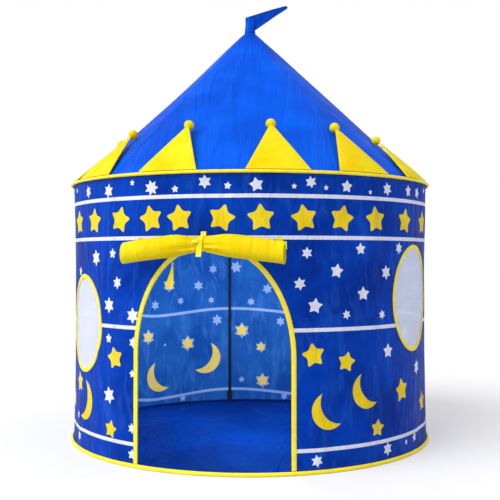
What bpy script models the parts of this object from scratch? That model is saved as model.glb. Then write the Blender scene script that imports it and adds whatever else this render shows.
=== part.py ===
"""Castle play tent for a child: a cloth drum under a cone roof, kept round by two
spring-steel hoops and kept up by five jointed poles. The doorway faces -Y, +Z is up, and the
origin is the middle of the floor's underside. Sizes are in metres, angles in degrees.

Angles round the tent are counted from the doorway towards +X.
"""

import math

import bmesh
import bpy
from mathutils import Vector

# Drum and roof
RING_RADIUS = 0.525
EAVE_HEIGHT = 0.728
PEAK_HEIGHT = 1.204
CLOTH = 0.0012
FLOOR_CLOTH = 0.0015
GAP = 0.0003

# All round pieces of the drum share these stations, so that their facets stay parallel
STATION = 5.0
FIRST_STATION = -1.0
STATIONS = round(360 / STATION)

# Binding tapes and the spring wires inside them
BASE_TAPE_RADIUS = 0.005
EAVE_TAPE_RADIUS = 0.004
BASE_WIRE_RADIUS = 0.0030
EAVE_WIRE_RADIUS = 0.0021
WIRE_SIDES = 6
TAPE_SIDES = 6
TAPE_SLOT_SHARE = 0.06

# Poles, at these stations, which clear the doorway and both windows
POLE_STATION_SHARES = (-32, -19, -6, 10, 25)
POLE_RADIUS = 0.00475
POLE_SIDES = 12
SOCKET_RADIUS = 0.0080
SOCKET_BEAD = 0.0012
CUP_HEIGHT = 0.040
CUP_FLOOR = 0.004
ELBOW_LEG = 0.034
ELBOW_STOP = 0.008
BORE_CLEARANCE = 0.00035
BEND_STEPS = 4
HUB_RADIUS = 0.019
HUB_DEPTH = 0.022
HUB_LEG = 0.046
HUB_STOP = 0.022
PEAK_HOLE_RADIUS = 0.014

# How far the roof cloth sags between two poles, and where
ROOF_SAG = 0.016
SAG_SKEW_SHARE = 0.76
ROOF_ROW_SHARES = (0.0, 0.12, 0.3, 0.5, 0.72, 1.0)

# Doorway: a round-headed opening down to the base tape
DOOR_HALF_WIDTH = 0.200
DOOR_SPRING_HEIGHT = 0.280
DOOR_HEIGHT = 0.549
DOOR_STEPS = 20
BINDING_WIDTH = 0.0105
BINDING_CLOTH = 0.0012

# Windows: angle of the middle, width, height and height of the middle
LEFT_WINDOW_ANGLE = -49.2
LEFT_WINDOW_WIDTH = 0.209
LEFT_WINDOW_HEIGHT = 0.253
LEFT_WINDOW_MIDDLE = 0.346
RIGHT_WINDOW_ANGLE = 69.0
RIGHT_WINDOW_WIDTH = 0.223
RIGHT_WINDOW_HEIGHT = 0.274
RIGHT_WINDOW_MIDDLE = 0.414
WINDOW_STEPS = 28
NET = 0.0008

# Crown: stuffed points that stand round the eave, each with a ball sewn to its tip
CROWN_POINTS = 13
CROWN_FIRST_ANGLE = 16.55
CROWN_WIDTH = 0.159
CROWN_LENGTH = 0.1790
CROWN_LEAN_OVER_ROOF = 2.80
# How far a point is sewn from its even place, in degrees: those at the back stand closer
CROWN_SHIFTS = {1: 1.8, 2: 0.1, 3: -0.5, 4: 6, 5: 4, 6: 2, 9: -3.5, 10: -7, 11: -11, 12: -2.7, 13: -1.1}
CROWN_THICK = 0.0030
CROWN_BALL_RADIUS = 0.013
CROWN_ROWS = 2
CROWN_COLUMNS = 4

# Peak sleeve and pennant
SLEEVE_RADIUS = 0.016
SLEEVE_HEIGHT = 0.049
SLEEVE_HALF_DEPTH = 0.0035
SLEEVE_STEPS = 16
PENNANT_ANGLE = 100.8
PENNANT_REACH = 0.115
PENNANT_RISE = 0.037
PENNANT_ROOT = 0.038
PENNANT_TIP = 0.007
PENNANT_THICK = 0.0020

# Door flap: rolled up from its hem, hung from a seam over the doorway
FLAP_SHIFT = -0.010
FLAP_WIDTH = 0.392
ROLL_RADIUS = 0.027
ROLL_CORE_RADIUS = 0.0085
ROLL_TURNS = 3.5
ROLL_STEPS_PER_TURN = 12
FLAP_CLOTH = 0.0014
PINCH_SHARE = 0.685
PINCH_WIDTH = 0.036
ROLL_OVER_DOOR = 0.004
ROLL_DROOP = 0.022
ROLL_DROOP_POWER_SHARE = 1.5
ROLL_STATION_SHARES = (-1.0, -0.7, -0.42, -0.25, -0.13, 0.13, 0.25, 0.42, 0.7, 1.0)
CURTAIN_DROP = 0.0182

# Tie strap over the middle of the roll, and the ribbon that hangs from the doorway's binding
TIE_WIDTH = 0.014
TIE_BED_SHARE = 0.64
TIE_CLOTH = 0.0012
TIE_OVER_CURTAIN = 0.0125
TIE_TAIL = 0.030
TIE_STEPS = 7
RIBBON_PLACE = -0.095
RIBBON_LENGTH = 0.060
RIBBON_TOP_WIDTH = 0.007
RIBBON_SPREAD = 0.021
RIBBON_CUT = 0.034
RIBBON_CLOTH = 0.0010

# Sizes that follow from those above
WALL_RADIUS = RING_RADIUS - 2 * EAVE_TAPE_RADIUS - GAP
WALL_INNER = WALL_RADIUS - CLOTH
BASE_RING_RADIUS = RING_RADIUS - BASE_TAPE_RADIUS
EAVE_RING_RADIUS = RING_RADIUS - EAVE_TAPE_RADIUS
ROOF_START = EAVE_HEIGHT + GAP
ROOF_SLOPE = (PEAK_HEIGHT - ROOF_START) / WALL_INNER
ROOF_ANGLE = math.atan(ROOF_SLOPE)
ROOF_NORMAL = Vector((math.sin(ROOF_ANGLE), math.cos(ROOF_ANGLE)))
SOCKET_OFFSET = SOCKET_RADIUS + SOCKET_BEAD + GAP
POLE_AXIS_RADIUS = WALL_INNER - SOCKET_OFFSET
ELBOW_DROP = SOCKET_OFFSET * (1 - ROOF_NORMAL.x) / ROOF_NORMAL.y
ELBOW_HEIGHT = ROOF_START - ELBOW_DROP
POLE_ANGLES = [FIRST_STATION + STATION * share for share in POLE_STATION_SHARES]
BORE_RADIUS = POLE_RADIUS + BORE_CLEARANCE
ROLL_BACK = WALL_RADIUS + 2 * GAP + FLAP_CLOTH
CURTAIN_BOTTOM = DOOR_HEIGHT + BINDING_WIDTH + GAP
CURTAIN_TOP = CURTAIN_BOTTOM + CURTAIN_DROP
TIE_TOP = CURTAIN_TOP + TIE_OVER_CURTAIN
ROLL_HEIGHT = DOOR_HEIGHT + ROLL_OVER_DOOR

BLUE = (0.003, 0.045, 0.60)
ROOF_BLUE = (0.003, 0.10, 0.82)
FLOOR_BLUE = (0.002, 0.02, 0.30)
YELLOW = (1.0, 0.80, 0.0)
NET_WHITE = (0.75, 0.77, 0.95)
STEEL = (0.55, 0.56, 0.58)
BLACK = (0.012, 0.012, 0.014)


def direction(angle):
    """Level unit vector away from the axis at an angle round the tent."""
    turn = math.radians(angle)
    return Vector((math.sin(turn), -math.cos(turn), 0))


def turn_of(place):
    """Angle round the tent of a distance along the wall's face from the doorway's middle."""
    return math.degrees(place / WALL_RADIUS)


def place_of(angle):
    """Distance along the wall's face from the doorway's middle of an angle round the tent."""
    return WALL_RADIUS * math.radians(angle)


def material(name, colour, roughness, metallic=0.0):
    made = bpy.data.materials.new(name)
    made.use_nodes = True
    shader = made.node_tree.nodes["Principled BSDF"]
    shader.inputs["Base Color"].default_value = (*colour, 1.0)
    shader.inputs["Roughness"].default_value = roughness
    shader.inputs["Metallic"].default_value = metallic
    made.diffuse_color = (*colour, 1.0)
    return made


def finish(bm, name, surface, origin=None):
    """Turn a bmesh into a named object with its origin where asked."""
    bmesh.ops.remove_doubles(bm, verts=bm.verts[:], dist=GAP / 100)
    bmesh.ops.recalc_face_normals(bm, faces=bm.faces[:])
    start = Vector(origin) if origin else Vector()
    bmesh.ops.translate(bm, verts=bm.verts[:], vec=-start)
    mesh = bpy.data.meshes.new(name)
    bm.to_mesh(mesh)
    bm.free()
    mesh.materials.append(surface)
    mesh.shade_smooth()
    mesh.set_sharp_from_angle(angle=math.radians(30))
    made = bpy.data.objects.new(name, mesh)
    made.location = start
    bpy.context.collection.objects.link(made)
    return made


def strip(bm, rows, closed_row=False, closed_rows=False, caps=False):
    """Skin rows of points, each as long as the next, with optional end faces."""
    grid = [[bm.verts.new(point) for point in row] for row in rows]
    count = len(grid[0])
    pairs = range(len(grid)) if closed_rows else range(len(grid) - 1)
    for i in pairs:
        lower, upper = grid[i], grid[(i + 1) % len(grid)]
        for j in range(count if closed_row else count - 1):
            k = (j + 1) % count
            bm.faces.new((lower[j], lower[k], upper[k], upper[j]))
    if caps:
        bm.faces.new(grid[0])
        bm.faces.new(grid[-1])
    return grid


def wrap(bm):
    """Wrap a flat pattern round the drum. Its x is the place along the wall, its y the height
    and its z the height over the wall's outer face. It is cut at each station first."""
    places = [vert.co.x for vert in bm.verts]
    first = math.ceil((turn_of(min(places)) - FIRST_STATION) / STATION)
    last = math.floor((turn_of(max(places)) - FIRST_STATION) / STATION)
    for station in range(first, last + 1):
        bmesh.ops.bisect_plane(
            bm,
            geom=bm.verts[:] + bm.edges[:] + bm.faces[:],
            dist=GAP / 100,
            plane_co=(place_of(FIRST_STATION + STATION * station), 0, 0),
            plane_no=(1, 0, 0),
        )
    for vert in bm.verts:
        steps = (turn_of(vert.co.x) - FIRST_STATION) / STATION
        station = math.floor(steps)
        near = direction(FIRST_STATION + STATION * station)
        far = direction(FIRST_STATION + STATION * (station + 1))
        flat = near.lerp(far, steps - station) * (WALL_RADIUS + vert.co.z)
        vert.co = (flat.x, flat.y, vert.co.y)


def cloth_pattern(outlines, thick, top=0.0):
    """Flat cloth from outlines that meet edge to edge, its outer face at the height top."""
    bm = bmesh.new()
    for outline in outlines:
        bm.faces.new([bm.verts.new((x, y, top)) for x, y in outline])
    bmesh.ops.remove_doubles(bm, verts=bm.verts[:], dist=GAP / 100)
    made = bmesh.ops.extrude_face_region(bm, geom=bm.faces[:], use_keep_orig=True)
    moved = [item for item in made["geom"] if isinstance(item, bmesh.types.BMVert)]
    bmesh.ops.translate(bm, verts=moved, vec=(0, 0, -thick))
    return bm


def door_outline(foot, grow=0.0):
    """Doorway from its left foot over the arch to its right foot, moved out by grow."""
    points = [(-DOOR_HALF_WIDTH - grow, foot)]
    for step in range(DOOR_STEPS + 1):
        turn = math.pi * (1 - step / DOOR_STEPS)
        across = (DOOR_HALF_WIDTH + grow) * math.cos(turn)
        rise = (DOOR_HEIGHT - DOOR_SPRING_HEIGHT + grow) * math.sin(turn)
        points.append((across, DOOR_SPRING_HEIGHT + rise))
    points.append((DOOR_HALF_WIDTH + grow, foot))
    return points


def height_at(outline, across):
    """Height of an outline over a place on its base."""
    for (x0, y0), (x1, y1) in zip(outline, outline[1:]):
        if x0 <= across < x1:
            return y0 + (y1 - y0) * (across - x0) / (x1 - x0)
    return DOOR_SPRING_HEIGHT


def window_outline(angle, width, height, middle, grow=0.0):
    """Oval, from its left end over the top and back under."""
    points = []
    for step in range(WINDOW_STEPS):
        turn = math.pi - 2 * math.pi * step / WINDOW_STEPS
        across = (width / 2 + grow) * math.cos(turn)
        points.append((place_of(angle) + across, middle + (height / 2 + grow) * math.sin(turn)))
    return points


def wall_bottom():
    """Height at which the wall's lower edge stands on the base tape's shoulder."""
    inwards = min(BASE_RING_RADIUS - WALL_RADIUS, BASE_TAPE_RADIUS)
    return BASE_TAPE_RADIUS + math.sqrt(BASE_TAPE_RADIUS**2 - inwards**2) + GAP


def wall_panel(name, first, last, surface, window=None, door=False):
    """One wall panel between two pole seams, with its doorway or window cut out."""
    left, right = place_of(first) + GAP / 2, place_of(last) - GAP / 2
    low, high = wall_bottom(), EAVE_HEIGHT
    if door:
        shapes = [[(left, low), *door_outline(low), (right, low), (right, high), (left, high)]]
    elif window:
        oval = window_outline(*window)
        half, middle = WINDOW_STEPS // 2, window[3]
        over, under = oval[: half + 1], [*oval[half:], oval[0]]
        upper = [(left, middle), *over, (right, middle), (right, high), (left, high)]
        lower = [(right, middle), *under, (left, middle), (left, low), (right, low)]
        shapes = [upper, lower]
    else:
        shapes = [[(left, low), (right, low), (right, high), (left, high)]]
    bm = cloth_pattern(shapes, CLOTH)
    wrap(bm)
    return finish(bm, name, surface)


def binding(name, outline_at, section, surface, closed):
    """Tape laid along an edge of the cloth. section holds points as (out from the edge into
    the cloth, height over the wall's outer face)."""
    bm = bmesh.new()
    paths = [[(*point, height) for point in outline_at(out)] for out, height in section]
    rows = [list(row) for row in zip(*paths)]
    strip(bm, rows, closed_row=True, closed_rows=closed, caps=not closed)
    wrap(bm)
    return finish(bm, name, surface)


def edge_tape_section(inner_lip):
    """Tape folded over a cut edge, open towards the cloth that it holds."""
    top, under = GAP + BINDING_CLOTH, -CLOTH - GAP - BINDING_CLOTH
    reach, lip = BINDING_WIDTH - inner_lip, -inner_lip
    return [
        (reach, GAP),
        (reach - BINDING_CLOTH / 2, top),
        (lip + BINDING_CLOTH, top),
        (lip, -CLOTH / 2),
        (lip + BINDING_CLOTH, under),
        (reach, under),
        (reach, -CLOTH - GAP),
        (-GAP, -CLOTH - GAP),
        (-GAP, GAP),
    ]


def window_tape_section():
    """Tape with a groove on both sides: for the wall outside it, for the net inside it."""
    half, web = BINDING_WIDTH / 2, BINDING_CLOTH
    top, under = GAP + BINDING_CLOTH, -CLOTH - GAP - BINDING_CLOTH
    return [
        (half, GAP),
        (half - BINDING_CLOTH / 2, top),
        (-half, top),
        (-half - web, GAP),
        (-GAP - web, GAP),
        (-GAP - web, -CLOTH - GAP),
        (-half - web, -CLOTH - GAP),
        (-half - web, under),
        (half, under),
        (half, -CLOTH - GAP),
        (-GAP, -CLOTH - GAP),
        (-GAP, GAP),
    ]


def turned_ring(name, section, surface):
    """Section of (radius, height) points turned once round the axis, through every station."""
    bm = bmesh.new()
    rows = []
    for station in range(STATIONS):
        ray = direction(FIRST_STATION + STATION * station)
        rows.append([ray * radius + Vector((0, 0, height)) for radius, height in section])
    strip(bm, rows, closed_row=True, closed_rows=True)
    return finish(bm, name, surface)


def round_section(middle_radius, middle_height, radius, sides, start=0.5):
    """Polygon whose flats face down and up."""
    points = []
    for side in range(sides):
        turn = 2 * math.pi * (side + start) / sides
        points.append(
            (middle_radius + radius * math.cos(turn), middle_height + radius * math.sin(turn))
        )
    return points


def tape_section(middle_radius, middle_height, outer, wire):
    """Round tape with a bore for its wire, open in a narrow slot towards the axis."""
    bore = (wire + GAP) / math.cos(math.pi / WIRE_SIDES)
    points = []
    for radius, backwards in ((outer, False), (bore, True)):
        turns = [
            math.pi + 2 * math.pi * (TAPE_SLOT_SHARE + (1 - 2 * TAPE_SLOT_SHARE) * step / TAPE_SIDES)
            for step in range(TAPE_SIDES + 1)
        ]
        for turn in reversed(turns) if backwards else turns:
            points.append(
                (middle_radius + radius * math.cos(turn), middle_height + radius * math.sin(turn))
            )
    return points


def sag_depth(share):
    """How far the roof cloth hangs in from the straight cone midway between two poles."""
    return ROOF_SAG * max(math.sin(math.pi * share**SAG_SKEW_SHARE), 0.0)


def sag(share, angle):
    """How far the roof cloth hangs in from the straight cone, up the slope and round it."""
    angles = POLE_ANGLES + [POLE_ANGLES[0] + 360]
    for first, last in zip(angles, angles[1:]):
        if first - GAP <= angle <= last + GAP:
            across = (angle - first) / (last - first)
            return sag_depth(share) * math.sin(math.pi * across) ** 2
    return 0.0


def roof_share(radius):
    """Share of the way up the roof at a distance from the axis."""
    return (WALL_INNER - radius) / (WALL_INNER - PEAK_HOLE_RADIUS)


def roof_point(angle, share, over):
    """Point of the roof at a share of the way up, lifted off the cloth's inner face by over."""
    radius = WALL_INNER + (PEAK_HOLE_RADIUS - WALL_INNER) * share
    height = PEAK_HEIGHT - radius * ROOF_SLOPE
    lift = over - sag(share, angle)
    ray = direction(angle)
    flat = ray * (radius + lift * ROOF_NORMAL.x)
    return Vector((flat.x, flat.y, height + lift * ROOF_NORMAL.y))


def roof_gore(name, first, last, surface):
    """One roof panel between two pole seams, hanging in between them."""
    bm = bmesh.new()
    steps = round((last - first) / STATION)
    seam = math.degrees(GAP / 2 / PEAK_HOLE_RADIUS)
    rows = []
    for share in ROOF_ROW_SHARES:
        radius = WALL_INNER + (PEAK_HOLE_RADIUS - WALL_INNER) * share
        trim = seam * PEAK_HOLE_RADIUS / radius
        outer, inner = [], []
        for step in range(steps + 1):
            angle = first + STATION * step
            angle += trim if step == 0 else -trim if step == steps else 0.0
            outer.append(roof_point(angle, share, CLOTH))
            inner.append(roof_point(angle, share, 0.0))
        rows.append(outer + inner[::-1])
    strip(bm, rows, closed_row=True, caps=True)
    return finish(bm, name, surface)


def ring(place, along, side, radius, sides=POLE_SIDES):
    """Round section across a path that runs along, with one level side."""
    other = along.cross(side)
    turns = [2 * math.pi * (step + 0.5) / sides for step in range(sides)]
    return [place + radius * (side * math.cos(turn) + other * math.sin(turn)) for turn in turns]


def bar(name, start, end, radius, surface, angle):
    """Straight round bar that lies in the upright plane at an angle round the tent."""
    bm = bmesh.new()
    side, along = direction(angle + 90), (end - start).normalized()
    rows = [ring(place, along, side, radius) for place in (start, end)]
    strip(bm, rows, closed_row=True, caps=True)
    return finish(bm, name, surface)


def guide(made):
    """Keep a shape as a tool for cutting or joining, out of the model."""
    made.hide_render = True
    made.display_type = "WIRE"
    return made


def combine(target, tool, operation):
    step = target.modifiers.new(operation.title(), "BOOLEAN")
    step.operation = operation
    step.solver = "EXACT"
    step.object = guide(tool)


def roof_axis(angle, radius):
    """Point of a roof pole's axis at a distance from the tent's axis."""
    rise = (POLE_AXIS_RADIUS - radius) * ROOF_SLOPE
    return direction(angle) * radius + Vector((0, 0, ELBOW_HEIGHT + rise))


def roof_step(length):
    """Level part of a length along the roof pole."""
    return length * math.cos(ROOF_ANGLE)


def turned(name, profile, surface, place, sides, ring_from):
    """Solid of revolution from (radius, height) points, stood at a place."""
    bm = bmesh.new()
    side = direction(ring_from)
    other = Vector((0, 0, 1)).cross(side)
    rows = []
    for radius, height in profile:
        turns = [2 * math.pi * (step + 0.5) / sides for step in range(sides)]
        rows.append(
            [
                place + Vector((0, 0, height)) + radius * (side * math.cos(t) + other * math.sin(t))
                for t in turns
            ]
        )
    strip(bm, rows, closed_row=True, caps=True)
    return finish(bm, name, surface)


def frame_poles(black, plastic):
    """Five wall poles in foot cups, five roof poles, the elbows between them and the hub."""
    cup_foot = FLOOR_CLOTH + GAP
    for number, angle in enumerate(POLE_ANGLES, start=1):
        foot = direction(angle) * POLE_AXIS_RADIUS
        up = Vector((0, 0, 1))
        profile = [
            (SOCKET_RADIUS + SOCKET_BEAD, cup_foot),
            (SOCKET_RADIUS + SOCKET_BEAD, cup_foot + CUP_FLOOR),
            (SOCKET_RADIUS, cup_foot + 2 * CUP_FLOOR),
            (SOCKET_RADIUS, cup_foot + CUP_HEIGHT - CUP_FLOOR),
            (SOCKET_RADIUS + SOCKET_BEAD, cup_foot + CUP_HEIGHT - CUP_FLOOR / 2),
            (SOCKET_RADIUS + SOCKET_BEAD, cup_foot + CUP_HEIGHT),
            (BORE_RADIUS, cup_foot + CUP_HEIGHT),
            (BORE_RADIUS, cup_foot + CUP_FLOOR),
        ]
        turned(f"foot_cup_{number}", profile, plastic, foot, POLE_SIDES, angle)
        pole_foot = foot + up * (cup_foot + CUP_FLOOR + GAP)
        pole_head = foot + up * (ELBOW_HEIGHT - ELBOW_STOP - GAP)
        bar(f"wall_pole_{number}", pole_foot, pole_head, POLE_RADIUS, black, angle)
        elbow(number, angle, plastic)
        low = roof_axis(angle, POLE_AXIS_RADIUS - roof_step(ELBOW_STOP + GAP))
        high = roof_axis(angle, roof_step(HUB_STOP + GAP))
        bar(f"roof_pole_{number}", low, high, POLE_RADIUS, black, angle)
    hub(plastic)


def elbow(number, angle, plastic):
    """Moulded elbow at the eave: a round bend between two blind sockets with rolled mouths."""
    side, out, up = direction(angle + 90), direction(angle), Vector((0, 0, 1))
    roofwards = up * math.sin(ROOF_ANGLE) - out * math.cos(ROOF_ANGLE)
    corner = roof_axis(angle, POLE_AXIS_RADIUS)
    turned_by = math.pi / 2 - ROOF_ANGLE
    bend = SOCKET_RADIUS + SOCKET_BEAD
    tangent = bend * math.tan(turned_by / 2)
    stop = max(ELBOW_STOP, tangent)
    mouth, bead = ELBOW_LEG, SOCKET_RADIUS + SOCKET_BEAD
    leg = [
        (stop, BORE_RADIUS),
        (mouth, BORE_RADIUS),
        (mouth, bead),
        (mouth - SOCKET_BEAD, bead),
        (mouth - 3 * SOCKET_BEAD, SOCKET_RADIUS),
        (tangent, SOCKET_RADIUS),
    ]
    rows = [ring(corner - up * reach, up, side, radius) for reach, radius in leg]
    middle = corner - up * tangent - out * bend
    for step in range(1, BEND_STEPS):
        turn = turned_by * step / BEND_STEPS
        place = middle + bend * (out * math.cos(turn) + up * math.sin(turn))
        rows.append(ring(place, up * math.cos(turn) - out * math.sin(turn), side, SOCKET_RADIUS))
    for reach, radius in reversed(leg):
        rows.append(ring(corner + roofwards * reach, roofwards, side, radius))
    bm = bmesh.new()
    strip(bm, rows, closed_row=True, caps=True)
    finish(bm, f"elbow_{number}", plastic)


def hub(plastic):
    """Hub under the peak: a turned boss with five legs that take the roof poles."""
    under_cloth = (sag_depth(roof_share(HUB_RADIUS)) + GAP) / ROOF_NORMAL.y
    brim = PEAK_HEIGHT - HUB_RADIUS * ROOF_SLOPE - under_cloth
    top_radius = PEAK_HOLE_RADIUS - GAP
    top = PEAK_HEIGHT - top_radius * ROOF_SLOPE - under_cloth
    profile = [
        (HUB_RADIUS * PINCH_SHARE, brim - HUB_DEPTH),
        (HUB_RADIUS, brim - HUB_DEPTH / 2),
        (HUB_RADIUS, brim),
        (top_radius, top),
    ]
    boss = turned("peak_hub", profile, plastic, Vector(), 2 * POLE_SIDES, FIRST_STATION)
    for number, angle in enumerate(POLE_ANGLES, start=1):
        start = roof_axis(angle, roof_step(HUB_STOP - SOCKET_RADIUS))
        end = roof_axis(angle, roof_step(HUB_LEG))
        leg = bar(f"peak_hub_leg_{number}", start, end, SOCKET_RADIUS, plastic, angle)
        combine(boss, leg, "UNION")
    for number, angle in enumerate(POLE_ANGLES, start=1):
        start = roof_axis(angle, roof_step(HUB_STOP))
        end = roof_axis(angle, roof_step(HUB_LEG + SOCKET_RADIUS))
        bore = bar(f"peak_hub_bore_{number}", start, end, BORE_RADIUS, plastic, angle)
        combine(boss, bore, "DIFFERENCE")


def crown_point(number, yellow):
    """Stuffed triangle on the eave tape, leaning in over the roof, with a ball on its tip."""
    even = CROWN_FIRST_ANGLE + 360 / CROWN_POINTS * (number - 1)
    middle = even + CROWN_SHIFTS.get(number, 0.0)
    foot_height = EAVE_HEIGHT + EAVE_TAPE_RADIUS + GAP
    lean = ROOF_ANGLE + math.radians(CROWN_LEAN_OVER_ROOF)
    slope = Vector((math.cos(lean), math.sin(lean))) * CROWN_LENGTH
    normal = Vector((slope.y, slope.x)).normalized()
    bm = bmesh.new()
    rows = []
    for row in range(CROWN_ROWS + 1):
        share = row / CROWN_ROWS * (1 - CROWN_BALL_RADIUS / 2 / slope.length)
        radius = EAVE_RING_RADIUS - slope.x * share
        height = foot_height + slope.y * share
        outer, inner = [], []
        for column in range(CROWN_COLUMNS + 1):
            half = math.degrees(CROWN_WIDTH / 2 * (1 - share) / radius)
            angle = middle + half * (2 * column / CROWN_COLUMNS - 1)
            ray = direction(angle) * radius
            place = Vector((ray.x, ray.y, height))
            over = direction(angle) * normal.x + Vector((0, 0, normal.y))
            outer.append(place + over * CROWN_THICK)
            inner.append(place)
        rows.append(outer + inner[::-1])
    strip(bm, rows, closed_row=True, caps=True)
    point = finish(bm, f"crown_point_{number:02d}", yellow)
    bm = bmesh.new()
    bmesh.ops.create_icosphere(bm, subdivisions=2, radius=CROWN_BALL_RADIUS)
    tip = direction(middle) * (EAVE_RING_RADIUS - slope.x)
    tip.z = foot_height + slope.y
    bmesh.ops.translate(bm, verts=bm.verts[:], vec=tip)
    combine(point, finish(bm, f"crown_point_{number:02d}_ball", yellow), "UNION")


def pennant(blue):
    """Cloth sleeve over the peak, pressed flat towards its top, with the pennant sewn on."""
    ray, side = direction(PENNANT_ANGLE), direction(PENNANT_ANGLE - 90)
    foot_height = PEAK_HEIGHT - SLEEVE_RADIUS * ROOF_SLOPE + (CLOTH + 2 * GAP) / ROOF_NORMAL.y
    foot = Vector((0, 0, foot_height))
    recess = Vector((0, 0, SLEEVE_RADIUS * ROOF_SLOPE))
    bm = bmesh.new()
    rows = []
    for share, flat in ((0.0, 0.0), (0.35, 0.55), (1.0, 1.0)):
        depth = SLEEVE_RADIUS + (SLEEVE_HALF_DEPTH - SLEEVE_RADIUS) * flat
        centre = foot + Vector((0, 0, SLEEVE_HEIGHT * share))
        turns = [2 * math.pi * step / SLEEVE_STEPS for step in range(SLEEVE_STEPS)]
        rows.append(
            [
                centre + ray * SLEEVE_RADIUS * math.cos(t) + side * depth * math.sin(t)
                for t in turns
            ]
        )
    grid = strip(bm, rows, closed_row=True)
    bm.faces.new(grid[-1])
    apex = bm.verts.new(foot + recess)
    for step in range(SLEEVE_STEPS):
        bm.faces.new((grid[0][step], grid[0][(step + 1) % SLEEVE_STEPS], apex))
    sleeve = finish(bm, "pennant", blue)
    top = foot_height + SLEEVE_HEIGHT
    tip = top + PENNANT_RISE
    outline = [
        (0.0, top - PENNANT_THICK),
        (PENNANT_REACH - PENNANT_TIP, tip),
        (PENNANT_REACH, tip - PENNANT_TIP),
        (SLEEVE_RADIUS, top - PENNANT_ROOT),
        (0.0, top - PENNANT_ROOT),
    ]
    bm = bmesh.new()
    rows = [
        [ray * along + side * PENNANT_THICK * half + Vector((0, 0, height)) for along, height in outline]
        for half in (-0.5, 0.5)
    ]
    strip(bm, rows, closed_row=True, caps=True)
    combine(sleeve, finish(bm, "pennant_sheet", blue), "UNION")


def pinch(across):
    """1 under the tie and 0 away from it, for a distance along the roll from its middle."""
    away = max(abs(across) - TIE_WIDTH * TIE_BED_SHARE, 0.0)
    return math.exp(-((away / PINCH_WIDTH) ** 2))


def roll_middle(across):
    """Middle of the rolled flap at a distance along it: drooping ends, drawn in at the tie."""
    half = FLAP_WIDTH / 2
    droop = ROLL_DROOP * (abs(across) / half) ** ROLL_DROOP_POWER_SHARE
    drawn = ROLL_RADIUS * (1 - PINCH_SHARE) * pinch(across)
    return Vector((FLAP_SHIFT + across, -(ROLL_BACK + ROLL_RADIUS - drawn), ROLL_HEIGHT - droop))


def flap_roll(yellow):
    """The flap wound up from its hem: one sheet in a spiral, open at both ends."""
    steps = round(ROLL_TURNS * ROLL_STEPS_PER_TURN)
    bm = bmesh.new()
    rows = []
    bed = TIE_WIDTH * TIE_BED_SHARE
    ends = [share * FLAP_WIDTH / 2 for share in ROLL_STATION_SHARES]
    for across in sorted([*ends, -bed, bed]):
        middle = roll_middle(across)
        scale = 1 - (1 - PINCH_SHARE) * pinch(across)
        outer, inner = [], []
        for step in range(steps + 1):
            turn = math.pi / 2 + 2 * math.pi * ROLL_TURNS * step / steps
            radius = ROLL_RADIUS - (ROLL_RADIUS - ROLL_CORE_RADIUS) * step / steps
            ray = Vector((0, math.cos(turn), math.sin(turn)))
            outer.append(middle + ray * radius * scale)
            inner.append(middle + ray * (radius * scale - FLAP_CLOTH))
        rows.append(outer + inner[::-1])
    grid = strip(bm, rows, closed_row=True)
    count = len(grid[0])
    for end in (grid[0], grid[-1]):
        for step in range(steps):
            bm.faces.new((end[step], end[step + 1], end[count - 2 - step], end[count - 1 - step]))
    start = roll_middle(0.0)
    return finish(bm, "door_flap_roll", yellow, origin=start)


def flap_curtain(yellow):
    """Short stretch of the flap that is not rolled up, from its seam down behind the roll."""
    left, right = FLAP_SHIFT - FLAP_WIDTH / 2, FLAP_SHIFT + FLAP_WIDTH / 2
    shape = [
        (left, CURTAIN_BOTTOM),
        (right, CURTAIN_BOTTOM),
        (right, CURTAIN_TOP),
        (left, CURTAIN_TOP),
    ]
    bm = cloth_pattern([shape], FLAP_CLOTH, top=GAP + FLAP_CLOTH)
    wrap(bm)
    return finish(bm, "door_flap_curtain", yellow)


def roll_tie(yellow):
    """Strap sewn over the doorway, laid over the middle of the roll, with a hanging end."""
    middle = roll_middle(0.0)
    around = ROLL_RADIUS * PINCH_SHARE + 2 * GAP
    seam = -(WALL_RADIUS + GAP)
    line = [Vector((0, seam, TIE_TOP)), Vector((0, seam, TIE_TOP - TIE_WIDTH / 2))]
    for step in range(TIE_STEPS + 1):
        turn = math.radians(60) + math.radians(120) * step / TIE_STEPS
        line.append(Vector((0, middle.y + around * math.cos(turn), middle.z + around * math.sin(turn))))
    line.append(line[-1] - Vector((0, 0, TIE_TAIL)))
    bm = bmesh.new()
    rows = []
    for index, place in enumerate(line):
        before, after = line[max(index - 1, 0)], line[min(index + 1, len(line) - 1)]
        along = (after - before).normalized()
        outward = Vector((0, along.z, -along.y))
        corners = []
        for side, over in ((-0.5, 0.0), (0.5, 0.0), (0.5, 1.0), (-0.5, 1.0)):
            shift = Vector((FLAP_SHIFT + side * TIE_WIDTH, 0, 0))
            corners.append(place + shift + outward * over * TIE_CLOTH)
        rows.append(corners)
    strip(bm, rows, closed_row=True, caps=True)
    return finish(bm, "roll_tie", yellow, origin=(FLAP_SHIFT, seam, TIE_TOP))


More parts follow.
